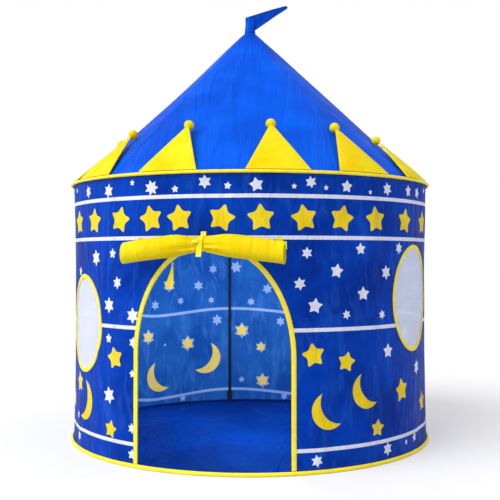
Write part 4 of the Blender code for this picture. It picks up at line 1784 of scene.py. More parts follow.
@dataclass
class Stitching:
    """Rows of lockstitch along the seams, laid by one Geometry Nodes tree.

    Real stitches are about 3 mm apart in thread of 0.3 mm. They are drawn a little larger, so
    that they show.
    """

    drum: Drum
    trim: Trim
    cone: Cone
    roof: RoofCloth
    wardrobe: Wardrobe
    pitch: float = 5.0 * MM
    length: float = 3.4 * MM
    thread: float = 0.42 * MM
    seam_row: float = 4.0 * MM
    # Points along a seam between two hoops, round the eave and round the foot of the wall
    seam_steps: int = 90
    ring_steps: int = 720
    base_steps: int = 640

    def tree(self) -> bpy.types.NodeTree:
        """Build the tree that lays a stitch at each pitch along a path.

        Returns:
            The tree.
        """
        made, given = new_group(
            "lockstitch_row",
            {
                "Pitch": "Float",
                "Stitch length": "Float",
                "Thread radius": "Float",
                "Thread": "Material",
            },
        )
        curve = add_node(made, "GeometryNodeMeshToCurve", {"Mesh": given["Geometry"]})
        spaced = {"Curve": curve.outputs[0], "Length": given["Pitch"]}
        points = add_node(made, "GeometryNodeCurveToPoints", spaced, mode="LENGTH")
        along = {"Vector": points.outputs["Tangent"]}
        turned = add_node(made, "FunctionNodeAlignRotationToVector", along, axis="Z")
        ball = {"Segments": 6, "Rings": 4, "Radius": 1.0}
        grain = add_node(made, "GeometryNodeMeshUVSphere", ball)
        halved = {0: given["Stitch length"], 1: 0.5}
        half = add_node(made, "ShaderNodeMath", halved, operation="MULTIPLY")
        radius = given["Thread radius"]
        size = add_node(
            made, "ShaderNodeCombineXYZ", {"X": radius, "Y": radius, "Z": half.outputs[0]}
        )
        instances = {
            "Points": points.outputs["Points"],
            "Instance": grain.outputs["Mesh"],
            "Rotation": turned.outputs["Rotation"],
            "Scale": size.outputs["Vector"],
        }
        return end_group(made, instances, given["Thread"])

    def rows_on(
        self,
        name: str,
        paths: list[list[Vector]],
        thread: Finish,
        tree: bpy.types.NodeTree,
        body: str = "root",
    ) -> bpy.types.Object:
        """Sew rows of stitches along paths.

        Args:
            name: Name of the piece.
            paths: Points of each row, in order.
            thread: Finish of the thread.
            tree: The stitching tree.
            body: CAD body that the stitches ride on.

        Returns:
            All the rows as one plain mesh.
        """
        points: list[Vector] = []
        edges: list[tuple[int, int]] = []
        for path in paths:
            start = len(points)
            points += path
            edges += [(start + k, start + k + 1) for k in range(len(path) - 1)]
        mesh = bpy.data.meshes.new(name)
        mesh.from_pydata(points, edges, [])
        given = {
            "Pitch": self.pitch,
            "Stitch length": self.length,
            "Thread radius": self.thread,
            "Thread": thread,
        }
        piece = grow(link(name, mesh), tree, given)
        piece.data.shade_smooth()
        return declare(piece, body)

    def build(self) -> None:
        """Sew the bindings, the wall seams, the roof seams and the rows beside the hoops."""
        drum, trim, tree = self.drum, self.trim, self.tree()
        # Threads lie half sunk in the cloth, and deeper in the soft tape
        on_cloth, top = 0.15 * MM, trim.binding_rise - 0.3 * MM
        inset = trim.binding_width - 1.6 * MM
        foot = 2 * trim.base_radius + 2 * MM
        door = dense(trim.doorway.outline(foot, inset), trim.step, closed=False)
        tapes = [[drum.point(x, y, top) for x, y in door]]
        inner = -drum.cloth - top
        tapes.append([drum.point(x, y, inner) for x, y in door])
        for window in trim.windows:
            oval = dense(window.outline(drum, trim.binding_width / 2 - 1.4 * MM), trim.step)
            tapes.append([drum.point(x, y, top) for x, y in [*oval, oval[0]]])
        self.rows_on("binding_stitches", tapes, self.wardrobe.thread, tree)
        low, high = drum.foot + 3 * MM, drum.eave - 6 * MM
        heights = [low + (high - low) * k / self.seam_steps for k in range(self.seam_steps + 1)]
        seams = []
        for pole in drum.poles:
            for side in (-self.seam_row, self.seam_row):
                place = drum.place_of(pole if pole < 180 else pole - 360) + side
                seams.append([drum.point(place, z, on_cloth) for z in heights])
        whole = drum.place_of(360)
        around = [whole * k / self.ring_steps for k in range(self.ring_steps)]
        seams.append([drum.point(x, drum.eave - 7.5 * MM, on_cloth) for x in around])
        gap = trim.doorway.half_width + trim.binding_width + 2 * MM
        steps = self.base_steps
        edge = [gap + (whole - 2 * gap) * k / steps for k in range(steps + 1)]
        seams.append([drum.point(x, drum.foot + 4.5 * MM, on_cloth) for x in edge])
        shares = [0.015 + 0.95 * k / self.seam_steps for k in range(self.seam_steps + 1)]
        for pole in drum.poles:
            for side in (-self.seam_row, self.seam_row):
                path = []
                for share in shares:
                    radius = self.cone.foot_radius * (1 - share) + self.cone.hole * share
                    angle = pole + math.degrees(side / max(radius, 30 * MM))
                    lift = self.roof.lift(angle, share) + on_cloth
                    path.append(self.cone.point(angle, share, lift))
                seams.append(path)
        self.rows_on("seam_stitches", seams, self.wardrobe.blue_thread, tree)


# Crown


@dataclass
class Crown:
    """Stuffed yellow points that stand round the eave, each with a ball sewn to its tip.

    One point is modelled over the doorway's middle, and a Geometry Nodes tree sets it at each
    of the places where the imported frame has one. The stuffing lets each lean a little its own
    way: some stand up, and those at the tent's sides lie down on the roof.
    """

    drum: Drum
    trim: Trim
    wardrobe: Wardrobe
    count: int = 13
    width: float = 0.159
    seam: float = 0.8 * MM
    puff: float = 4.2 * MM
    back_puff: float = 1.2 * MM
    # How far the sewn edges lie in front of the line from foot to ball
    forward: float = 1.6 * MM
    ball: float = 13 * MM
    rows: int = 30
    columns: int = 28
    # Lean away from the frame's, in degrees towards the roof, and size, of each point
    stances: tuple[tuple[float, float], ...] = (
        (0.0, 1.0), (0.3, 1.0), (3.6, 0.934), (4.0, 0.98), (1.5, 1.0), (-0.6, 0.98), (0.4, 1.0),
        (1.8, 0.99), (-0.4, 1.0), (1.2, 0.98), (4.2, 1.05), (1.3, 0.973), (0.0, 1.0),
    )

    def nodes(self) -> list[str]:
        """Names of the frame's crown points."""
        return [f"crown_point_{number:02d}" for number in range(1, self.count + 1)]

    def tip(self, name: str) -> Vector:
        """Middle of the ball at the tip of one of the frame's crown points.

        Args:
            name: The frame's node.

        Returns:
            Point in the shared frame.
        """
        node = bpy.data.objects[name]
        places = [node.matrix_world @ vert.co for vert in node.data.vertices]
        top = max(place.z for place in places)
        ball = [place for place in places if place.z > top - 2 * self.ball]
        middle = sum(ball, Vector()) / len(ball)
        return Vector((middle.x, middle.y, top - self.ball))

    def foot(self) -> tuple[float, float]:
        """Radius and height of the points' sewn edge, on top of the eave's tape."""
        out = self.trim.gap + self.trim.eave_radius
        return self.drum.radius + out, self.drum.eave + out

    def slope(self) -> tuple[float, float]:
        """How far a point leans in and stands up, from its sewn edge to the ball's middle.

        Returns:
            Distance inwards and distance upwards.
        """
        tip = self.tip(self.nodes()[0])
        radius, height = self.foot()
        return radius - math.hypot(tip.x, tip.y), tip.z - height

    def balls(self) -> list[Vector]:
        """Middles of the balls, as each point leans.

        Returns:
            One point for each ball.
        """
        inward, upward = self.slope()
        radius, height = self.foot()
        middles = []
        for name, (lean, size) in zip(self.nodes(), self.stances):
            turn = math.radians(lean)
            inner = size * (inward * math.cos(turn) + upward * math.sin(turn))
            top = size * (upward * math.cos(turn) - inward * math.sin(turn))
            flat = direction(angle_of(self.tip(name))) * (radius - inner)
            middles.append(Vector((flat.x, flat.y, height + top)))
        return middles

    def tree(self) -> bpy.types.NodeTree:
        """Build the tree that sets the modelled point at each place round the eave.

        The places carry how far the point turns about its own foot, as "stance", and its size.

        Returns:
            The tree.
        """
        made, given = new_group("points_round_the_eave", {"Point": "Object", "Cloth": "Material"})
        point = add_node(made, "GeometryNodeObjectInfo", {"Object": given["Point"]})
        kept = {"Rotation": "stance", "Scale": "size"}
        instances = {"Points": given["Geometry"], "Instance": point.outputs["Geometry"]}
        for socket, name in kept.items():
            read = {"Name": name}
            carried = add_node(
                made, "GeometryNodeInputNamedAttribute", read, data_type="FLOAT_VECTOR"
            )
            instances[socket] = carried.outputs["Attribute"]
        return end_group(made, instances, given["Cloth"])

    def place(self, across: float, share: float, over: float) -> Vector:
        """Point of the crown point over the doorway: across from -1 to 1, share of its length.

        Args:
            across: From -1 to 1 over its width.
            share: Share of its length.
            over: Distance outwards from its plane.

        Returns:
            Point in the shared frame.
        """
        inward, upward = self.slope()
        length = math.hypot(inward, upward)
        ring, foot = self.foot()
        radius = ring - inward * share
        half = self.width / 2 * (1 - share)
        flat = direction(math.degrees(across * half / radius)) * (radius + over * upward / length)
        return Vector((flat.x, flat.y, foot + upward * share + over * inward / length))

    def point_mesh(self) -> bmesh.types.BMesh:
        """Stuffed triangle: two puffed sides sewn edge to edge.

        Returns:
            Editable mesh, which the ball is added to.
        """
        made = bmesh.new()
        grids = []
        # The triangle ends inside the ball
        tip = 1 - self.ball * 0.6 / math.hypot(*self.slope())
        for outer in (True, False):
            grid = []
            for row in range(self.rows + 1):
                share = tip * row / self.rows
                line = []
                for column in range(self.columns + 1):
                    across = -math.cos(math.pi * column / self.columns)
                    round_side = math.sqrt(max(1 - across * across, 0.0))
                    full = (1 - share) ** 0.55 * smooth_step(-0.03, 0.16, share)
                    pull = 1 + 0.12 * noise.noise(Vector((across * 2.3, share * 6, 1.0)))
                    pucker = 0.3 * MM * noise.noise(Vector((across * 3, share * 40, 7.0)))
                    rise = self.puff if outer else -self.back_puff
                    over = self.forward + rise * round_side**0.8 * full * pull
                    over += (self.seam if outer else -self.seam) + (pucker if outer else 0.0)
                    line.append(made.verts.new(self.place(across, share, over)))
                grid.append(line)
            grids.append(grid)
        front, back = grids
        rows, columns = self.rows, self.columns
        for grid in grids:
            for low, high in zip(grid, grid[1:]):
                for j in range(columns):
                    made.faces.new((low[j], low[j + 1], high[j + 1], high[j]))
        for i in range(rows):
            for j in (0, columns):
                made.faces.new((front[i][j], front[i + 1][j], back[i + 1][j], back[i][j]))
        for j in range(columns):
            for i in (0, rows):
                made.faces.new((front[i][j], front[i][j + 1], back[i][j + 1], back[i][j]))
        return made

    def add_ball(self, made: bmesh.types.BMesh) -> None:
        """Stuffed ball, gathered where it is tied to the tip.

        Args:
            made: Editable mesh that gets the ball.
        """
        centre = self.place(0.0, 1.0, 0.0)
        toward = (self.place(0.0, 0.9, self.forward) - centre).normalized()
        ball = bmesh.ops.create_uvsphere(made, u_segments=28, v_segments=18, radius=self.ball)
        turn = toward.to_track_quat("Z", "Y")
        for vert in ball["verts"]:
            height = vert.co.z / self.ball
            spin = math.atan2(vert.co.y, vert.co.x)
            gather = smooth_step(0.35, 0.95, height)
            shrink = 1 - 0.045 * gather * (1 + math.sin(9 * spin))
            vert.co = centre + turn @ Vector((vert.co.x * shrink, vert.co.y * shrink, vert.co.z))

    def build(self) -> bpy.types.Object:
        """Returns:
            The whole crown as one piece.
        """
        made = self.point_mesh()
        self.add_ball(made)
        bmesh.ops.recalc_face_normals(made, faces=made.faces[:])
        radius, height = self.foot()
        bmesh.ops.translate(made, verts=made.verts[:], vec=(0, radius, -height))
        point = soften(link("modelled_point", to_mesh(made, "modelled_point")), 50)
        turns = [angle_of(self.tip(name)) for name in self.nodes()]
        places = bpy.data.meshes.new("crown_points")
        feet = [direction(turn) * radius for turn in turns]
        places.from_pydata([(foot.x, foot.y, height) for foot in feet], [], [])
        stance = places.attributes.new("stance", "FLOAT_VECTOR", "POINT")
        size = places.attributes.new("size", "FLOAT_VECTOR", "POINT")
        for at, (lean, scale) in enumerate(self.stances):
            stance.data[at].vector = (-math.radians(lean), 0, math.radians(turns[at]))
            size.data[at].vector = (1, scale, scale)
        given = {"Point": point, "Cloth": self.wardrobe.yellow}
        piece = grow(link("crown_points", places), self.tree(), given)
        bpy.data.objects.remove(point)
        declare(piece, "root", "yellow_cloth", *self.nodes())
        return piece


# Door flap, its strap and the ribbon


@dataclass
class DoorFlap:
    """The door flap, wound up from its hem, with its short curtain and the strap that holds it."""

    drum: Drum
    doorway: Doorway
    wardrobe: Wardrobe
    shift: float = -10 * MM
    width: float = 0.392
    radius: float = 27 * MM
    core: float = 8.5 * MM
    turns: float = 3.5
    cloth: float = 1.3 * MM
    pinched: float = 0.685
    pinch_width: float = 36 * MM
    bed: float = 9 * MM
    # Room for the curtain between the wall and the roll
    room_behind: float = 2.0 * MM
    curtain_over: float = 1.75 * MM
    droop: float = 22 * MM
    droop_power: float = 1.5
    over_door: float = 4 * MM
    curtain_low: float = 0.5598
    # Least height of the curtain's upper edge
    curtain_sewn: float = 0.5609
    curtain_top: float = 0.578
    hangs_free: float = 0.8
    # The curtain shows only at its ends, as tabs whose middle and half width these are
    tab_at: float = 179 * MM
    tab_half: float = 8 * MM
    tab_top: float = 0.5715
    seam_top: float = 0.5845
    tie_width: float = 13 * MM
    tie_cloth: float = 0.9 * MM
    tie_at: float = -4.5 * MM
    tail: float = 29 * MM
    tail_slant: float = -3 * MM
    # Steps of the strap's arc over the roll, and the one where its knot sits
    arc_steps: int = 32
    knot_step: int = 27
    columns: int = 150
    steps: int = 150

    def pinch(self, across: float) -> float:
        """1 under the strap and 0 away from it."""
        away = max(abs(across - self.tie_at) - self.bed, 0.0)
        return math.exp(-((away / self.pinch_width) ** 2))

    def middle(self, across: float) -> Vector:
        """Middle of the roll at a distance along it: drooping ends, drawn in at the strap.

        Args:
            across: Distance along the roll from its middle.

        Returns:
            Point in the shared frame.
        """
        back = self.drum.radius + self.room_behind
        drawn = self.radius * (1 - self.pinched) * self.pinch(across)
        droop = self.droop * (abs(across) / (self.width / 2)) ** self.droop_power
        height = self.doorway.height + self.over_door - droop
        return Vector((self.shift + across, -(back + self.radius - drawn), height))

    def wound(self, across: float, turn: float, step: float) -> float:
        """Radius of a layer: gathered into folds at the strap, and looser towards the ends.

        Args:
            across: Distance along the roll from its middle.
            turn: How far round the roll the point lies, in radians.
            step: Share of the winding done, 0 at the outermost layer.

        Returns:
            Distance from the roll's middle.
        """
        plain = self.radius - (self.radius - self.core) * step
        size = 1 - (1 - self.pinched) * self.pinch(across)
        away = max(abs(across - self.tie_at) - self.bed, 0.0)
        size += 0.035 * bump(abs(across), 0.068, 0.034)
        size += 0.08 * bump(across, 0.115, 0.06) + 0.035 * bump(across, -0.10, 0.06)
        near = math.exp(-((away / 0.05) ** 2)) * smooth_step(0.0, 5 * MM, away)
        side = 1.7 if across > self.tie_at else 0.0
        gather = math.sin(7 * turn + side) + 0.6 * math.sin(12 * turn + 2 * side + away * 30)
        folds = 2.3 * MM * near * gather
        circle = (math.cos(turn) * 1.6, math.sin(turn) * 1.6 + side)
        long_fold = noise.noise(Vector((across * 9, *circle)))
        loose = noise.noise(Vector((across * 30, turn * 0.9, 5.0)))
        end = smooth_step(0.8, 1.0, abs(across) / (self.width / 2))
        slack = (1.0 * long_fold + 0.35 * loose) * MM * (1 - self.pinch(across))
        # The outermost layer keeps to the space behind the roll, where the wall stands
        wall = 0.25 + 0.75 * smooth_step(-0.2, 0.6, -math.cos(turn))
        uneven = folds + slack + 0.5 * MM * end * math.sin(2 * turn)
        return plain * size + uneven * wall * (1 - 0.4 * step)

    def roll(self) -> bpy.types.Object:
        """The wound flap.

        Returns:
            The roll.
        """
        rows = []
        for column in range(self.columns + 1):
            across = (column / self.columns - 0.5) * self.width
            middle = self.middle(across)
            outer, inner = [], []
            for at in range(self.steps + 1):
                step = at / self.steps
                turn = math.pi / 2 + 2 * math.pi * self.turns * step
                # Towards the wall is +Y, where the cosine of the turn is more than nothing
                ray = Vector((0.0, math.cos(turn), math.sin(turn)))
                reach = self.wound(across, turn, step)
                end = 2.0 if across > 0 else 8.0
                wave = 0.6 * MM * noise.noise(Vector((turn * 1.1, step * 9, end)))
                edge = Vector((wave * smooth_step(0.85, 1.0, abs(2 * across / self.width)), 0, 0))
                outer.append(middle + ray * reach + edge)
                inner.append(middle + ray * (reach - self.cloth) + edge)
            rows.append(outer + inner[::-1])
        count = 2 * (self.steps + 1)
        ends = [
            [first + corner for corner in (at, at + 1, count - 2 - at, count - 1 - at)]
            for first in (0, self.columns * count)
            for at in range(self.steps)
        ]
        mesh = skin("rolled_door_flap", rows, (False, True), ends)
        length = math.pi * (self.radius + self.core) * self.turns

        def flat_at(column: int, at: int) -> tuple[float, float]:
            """The points of a row run in along the outer side and out along the inner one."""
            step = min(at, count - 1 - at) / self.steps
            return self.width * column / self.columns, length * step

        lay_rows(mesh, count, flat_at)
        piece = soften(link("rolled_door_flap", mesh, [self.wardrobe.yellow]))
        declare(piece, "door_flap", "yellow_cloth", "door_flap_roll")
        return piece

    def curtain_edges(self, across: float) -> tuple[float, float]:
        """Heights of the curtain's lower and upper edge at a distance along the roll.

        Args:
            across: Distance along the roll from its middle.

        Returns:
            Lower height and upper height.
        """
        middle = self.middle(across).z
        low = min(self.curtain_low, middle + 0.4 * self.radius)
        hidden = middle + self.radius * (1 - (1 - self.pinched) * self.pinch(across)) - 2 * MM
        off = abs(abs(across) - self.tab_at) / self.tab_half
        tab = 1 - smooth_step(0.55, 1.25, off)
        top = max(min(hidden, self.curtain_top), self.curtain_sewn)
        return low, top + (max(self.tab_top, top) - top) * tab

    def curtain(self) -> bpy.types.Object:
        """Short stretch of the flap from its seam down behind the roll.

        Returns:
            The curtain.
        """
        rows = []
        height = self.curtain_top - self.curtain_low
        lines, columns = 8, 160
        for row in range(lines + 1):
            share = row / lines
            line = []
            for column in range(columns + 1):
                across = (column / columns - 0.5) * self.width
                place = self.shift + across
                low, top = self.curtain_edges(across)
                wave = noise.noise(Vector((place * 40, share * 2, 3.0)))
                wave *= 0.45 * MM * (1 - share * 0.7)
                tall = low + (top - low) * share
                # Its foot hangs clear of the hollow in the wall
                clear = max(-self.drum.slack(place, tall), 0.0) * self.hangs_free * (1 - share)
                line.append(self.drum.point(place, tall, self.curtain_over + wave + clear))
            rows.append(line)
        mesh = skin("door_flap_top", rows, (False, False))
        face_towards(mesh, direction(0.0))
        wide, tall = self.width / columns, height / lines
        lay_rows(mesh, columns + 1, lambda row, column: (wide * column, tall * row))
        piece = thicken(link("door_flap_top", mesh, [self.wardrobe.yellow]), self.cloth)
        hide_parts("door_flap_curtain")
        start, end = (0, 0, self.curtain_sewn), (0, 0, self.curtain_low)
        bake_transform(piece)
        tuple(start)
        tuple(end)
        return piece

    def strap(self) -> bpy.types.Object:
        """Strap over the middle of the roll, drawn into a knot, with a slanting free end.

        Returns:
            The strap, without its knot.
        """
        middle = self.middle(0.0)
        around = self.radius * self.pinched + self.tie_cloth
        seam = -(self.drum.radius + 0.3 * MM)
        # Down its seam, across to the roll, over the roll and down as a free end
        path = [Vector((0, seam, self.seam_top - self.tie_width / 2 * k / 6)) for k in range(7)]
        start = path[-1]
        arc = [middle + self.round_the_roll(step) * around for step in range(self.arc_steps + 1)]
        for point in arc:
            point.x = 0.0
        path += [start.lerp(arc[0], k / 8) for k in range(1, 8)]
        knot_at = len(path) + self.knot_step
        path += arc
        path += [arc[-1] + Vector((0, 0.0, -self.tail * k / 14)) for k in range(1, 15)]
        lengths = [0.0]
        for before, after in zip(path, path[1:]):
            lengths.append(lengths[-1] + (after - before).length)
        total, knot = lengths[-1], lengths[knot_at]
        rows, across = [], 12
        for at, place in enumerate(path):
            along = (path[min(at + 1, len(path) - 1)] - path[max(at - 1, 0)]).normalized()
            outward = Vector((0, along.z, -along.y))
            tight = bump(lengths[at], knot, 9 * MM)
            half = self.tie_width / 2 * (1 - 0.34 * tight)
            past = max(lengths[at] - knot, 0.0) / (total - knot)
            slant = self.tail_slant * past + 2 * MM * smooth_step(0, 1, 1 - past) * tight
            row = []
            for column in range(across + 1):
                side = 2 * column / across - 1
                crease = 0.9 * MM * tight * math.cos(side * 3.5 * math.pi)
                curl = 0.5 * MM * side * side * past
                over = self.tie_cloth + 1.2 * MM * tight + crease + curl
                aside = self.shift + self.tie_at + slant + side * half
                row.append(place + Vector((aside, 0, 0)) + outward * over)
            rows.append(row)
        mesh = skin("roll_strap", rows, (False, False))
        face_towards(mesh, direction(0.0))
        wide = self.tie_width / across
        lay_rows(mesh, across + 1, lambda row, column: (lengths[row], wide * column))
        piece = thicken(link("roll_strap", mesh, [self.wardrobe.tape]), self.tie_cloth)
        declare(piece, "roll_strap", "yellow_tape", "roll_tie")
        self.knot(middle, around)
        return piece

    def round_the_roll(self, step: float) -> Vector:
        """Way from the roll's middle to a step of the strap's arc over it."""
        turn = math.radians(60 + 120 * step / self.arc_steps)
        return Vector((0, math.cos(turn), math.sin(turn)))

    def knot(self, middle: Vector, around: float) -> bpy.types.Object:
        """Turn of the strap that crosses it at the knot.

        Args:
            middle: Middle of the roll.
            around: Radius of the strap's arc.

        Returns:
            The knot.
        """
        outward = self.round_the_roll(self.knot_step)
        upward = Vector((0, outward.z, -outward.y))
        centre = middle + outward * (around + 3.0 * MM) + Vector((self.shift + self.tie_at, 0, 0))
        rows = []
        # Half widths of the turn along the roll and away from it, and of its band
        wide, deep, band = 8.0 * MM, 2.6 * MM, 4.2 * MM
        stations, sides = 40, 14
        for station in range(stations):
            spin = 2 * math.pi * station / stations
            ring = Vector((wide * math.cos(spin), 0, 0)) + outward * deep * math.sin(spin)
            ray = (Vector((math.cos(spin), 0, 0)) + outward * math.sin(spin)).normalized()
            row = []
            for side in range(sides):
                swing = 2 * math.pi * side / sides
                width = band * (1 + 0.15 * math.sin(2 * spin))
                puff = 1.0 * MM + 0.3 * MM * noise.noise(Vector((spin, swing, 1.0)))
                high = width * math.cos(swing) + 1.6 * MM * math.cos(spin)
                row.append(centre + ring + upward * high + ray * puff * math.sin(swing))
            rows.append(row)
        mesh = skin("roll_strap_knot", rows, (True, True))
        piece = soften(link("roll_strap_knot", mesh, [self.wardrobe.tape]))
        return declare(piece, "roll_strap", "yellow_tape")

    def build(self) -> None:
        """Make the roll, the curtain and the strap with its knot."""
        self.roll()
        self.curtain()
        self.strap()


@dataclass
class ForkedRibbon:
    """Two ribbon tails that hang from the doorway's tape, inside the opening."""

    drum: Drum
    wardrobe: Wardrobe
    place: float = -0.096
    # How far its top lies below the tape's middle, and its face inside the wall's
    below_tape: float = 1.5 * MM
    inward: float = 2.1 * MM
    neck: float = 1.8 * MM
    # Each tail: length in metres, then in mm its end's shift, its width and how far it lies back
    tails: tuple[tuple[float, float, float, float], ...] = (
        (0.060, -4.5, 9.5, 0.0),
        (0.052, -15.5, 8.5, 1.9),
    )

    def build(self) -> bpy.types.Object:
        """Make both tails as one piece.

        Returns:
            The ribbon.
        """
        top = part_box("door_ribbon")[1].z - self.below_tape
        lines, columns = 24, 8
        made = bmesh.new()
        plan: list[tuple[float, float]] = []
        for length, shift, width, behind in self.tails:
            grid = []
            for row in range(lines + 1):
                share = row / lines
                line = []
                half = self.neck + (width / 2 * MM - self.neck) * smooth_step(0.0, 0.75, share)
                back = self.inward + behind * MM * (0.5 + 0.5 * share) + self.drum.cloth / 2
                for column in range(columns + 1):
                    side = 2 * column / columns - 1
                    fold = (0.9 - 0.6 * share) * (1 - abs(side)) + 0.3 * math.sin(share * 7)
                    across = self.place + shift * MM * share**1.6 + side * half
                    # The free end is cut on the slant
                    cut = -1.6 * MM * side if row == lines else 0.0
                    height = top - length * share + cut
                    line.append(made.verts.new(self.hang(across, height, fold * MM - back)))
                    plan.append((length * share, side * half))
                grid.append(line)
            for high, low in zip(grid, grid[1:]):
                for j in range(columns):
                    made.faces.new((high[j], low[j], low[j + 1], high[j + 1]))
        mesh = to_mesh(made, "forked_ribbon")
        lay_flat(mesh, lambda at: plan[at])
        piece = thicken(link("forked_ribbon", mesh, [self.wardrobe.tape]), 0.6 * MM)
        declare(piece, "ribbon", "yellow_tape", "door_ribbon")
        return piece

    def hang(self, across: float, height: float, over: float) -> Vector:
        """Point on the plain drum, which the ribbon hangs in line with."""
        flat = direction(self.drum.angle_at(across)) * (self.drum.radius + over)
        return Vector((flat.x, flat.y, height))


# Pennant, floor and frame


@dataclass
class Pennant:
    """Cloth sleeve over the peak, pressed flat towards its top, with the pennant sewn to it."""

    cone: Cone
    wardrobe: Wardrobe
    angle: float = 100.8
    radius: float = 16 * MM
    top_width: float = 13.5 * MM
    top_depth: float = 3.5 * MM
    height: float = 49 * MM
    reach: float = 0.115
    rise: float = 37 * MM
    root: float = 38 * MM
    tip: float = 7 * MM
    hem: float = 4 * MM
    foot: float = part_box("pennant")[0].z + 0.5 * MM

    def sleeve(self) -> bpy.types.Object:
        """Sleeve with upright folds, closed at its top.

        Returns:
            The sleeve.
        """
        ray, side = direction(self.angle), direction(self.angle - 90)
        rows = []
        count, steps = 40, 72
        for row in range(count + 1):
            share = row / count
            flat = smooth_step(0.0, 0.75, share)
            wide = self.radius + (self.top_width - self.radius) * smooth_step(0.0, 0.6, share)
            deep = self.radius + (self.top_depth - self.radius) * flat
            line = []
            for step in range(steps):
                turn = 2 * math.pi * step / steps
                circle = Vector((math.cos(turn), math.sin(turn), share / 2))
                fold = 1 + 0.07 * flat * noise.noise(circle * 2.4)
                fold += 0.03 * bump(share, 0.06, 0.08) * math.sin(6 * turn)
                out = ray * wide * math.cos(turn) + side * deep * math.sin(turn)
                line.append(Vector((0, 0, self.foot + self.height * share)) + out * fold)
            rows.append(line)
        mesh = skin("peak_sleeve", rows, (False, True), end_caps(rows)[1:])

        def flat_at(corner: int) -> tuple[float, float]:
            """The sleeve's cloth is cut round the peak's axis."""
            point = mesh.vertices[corner].co
            return math.atan2(point.y, point.x) * self.radius, point.z

        lay_flat(mesh, flat_at)
        piece = thicken(link("peak_sleeve", mesh, [self.wardrobe.roof]), 1.0 * MM)
        return declare(piece, "root", "roof_cloth")

    def flag(self) -> bpy.types.Object:
        """Hemmed pennant that stands out from the sleeve and waves a little.

        Returns:
            The pennant.
        """
        ray, side = direction(self.angle), direction(self.angle - 90)
        top = self.foot + self.height
        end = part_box("pennant")[1].z
        columns, lines = 44, 22
        rows = []
        for column in range(columns + 1):
            share = column / columns
            start = -self.radius * 0.7
            along = start + (self.reach - self.tip - start) * share
            upper = Vector((along, top + (end - top) * share))
            low_start = Vector((self.radius * 1.02, top - self.root))
            lower = low_start.lerp(Vector((self.reach, end - self.tip)), share)
            past = smooth_step(0.94, 1.0, share)
            rounding = (1 - math.sqrt(max(1 - past**2, 0.0))) / 2
            line = []
            for row in range(lines + 1):
                v = row / lines
                point = lower.lerp(upper, v)
                if share > 0.9:
                    point = point.lerp(lower.lerp(upper, 0.5), rounding * abs(2 * v - 1))
                edge = min(v, 1 - v) * (upper - lower).length
                folded = 0.55 * MM * (1 - smooth_step(self.hem * 0.8, self.hem, edge))
                wave = 3.2 * MM * math.sin(share * 4.2) * share
                wave += 1.4 * MM * noise.noise(Vector((share * 4, v * 2, 6.0)))
                line.append(ray * point.x + side * (wave + folded) + Vector((0, 0, point.y)))
            rows.append(line)
        mesh = skin("pennant_flag", rows, (False, False))
        face_towards(mesh, side)
        points = [vert.co for vert in mesh.vertices]
        lay_flat(mesh, lambda at: (points[at].dot(ray), points[at].z))
        piece = thicken(link("pennant_flag", mesh, [self.wardrobe.pennant]), 1.1 * MM)
        declare(piece, "root", "roof_cloth", "pennant")
        return piece

    def build(self) -> None:
        """Make the sleeve and the pennant."""
        self.sleeve()
        self.flag()


@dataclass
class FloorSheet:
    """Round floor of coated cloth, laid on the ground, with low ripples from its folds."""

    drum: Drum
    wardrobe: Wardrobe
    radius: float = node_reach("floor_sheet") - 0.2 * MM
    top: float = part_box("floor_sheet")[1].z
    rings: int = 70
    rays: int = 300
    ripple: float = 1.8 * MM
    # Width of the rim in which the ripples die away
    flat_rim: float = 0.07

    def build(self) -> bpy.types.Object:
        """Returns:
            The floor.
        """
        rows = []
        inner = 2 * MM
        for ring in range(self.rings + 1):
            radius = inner + (self.radius - inner) * ring / self.rings
            flat = smooth_step(self.radius, self.radius - self.flat_rim, radius)
            line = []
            for at in range(self.rays):
                place = direction(360 * at / self.rays) * radius
                soft = noise.noise(place * 7.0)
                soft += 0.5 * noise.noise(place * 17.0 + Vector((4, 0, 0)))
                fold = max(bump(place.x, -0.07, 0.012), bump(place.y, 0.12, 0.012))
                height = self.ripple * (max(soft, 0.0) + 0.7 * fold) * flat
                line.append(Vector((place.x, place.y, self.top + height)))
            rows.append(line)
        mesh = skin("floor_cloth", rows, (False, True), end_caps(rows)[:1])
        face_towards(mesh, Vector((0, 0, 1)))
        lay_flat(mesh, lambda at: mesh.vertices[at].co.xy)
        piece = thicken(link("floor_cloth", mesh, [self.wardrobe.floor]), 1.2 * MM)
        declare(piece, "root", "floor_cloth", "floor_sheet")
        return piece


def dress_frame(wardrobe: Wardrobe) -> None:
    """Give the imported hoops, poles and moulded joints their finishes.

    Args:
        wardrobe: Finishes of the tent.
    """
    finishes = {
        "base_hoop": wardrobe.wire,
        "eave_hoop": wardrobe.wire,
        "wall_pole": wardrobe.rod,
        "roof_pole": wardrobe.rod,
        "foot_cup": wardrobe.nylon,
        "elbow": wardrobe.nylon,
        "peak_hub": wardrobe.nylon,
    }
    for name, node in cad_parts.items():
        for start, finish in finishes.items():
            if name.startswith(start):
                node.data.materials.clear()
                node.data.materials.append(finish)


# Light, floor and camera


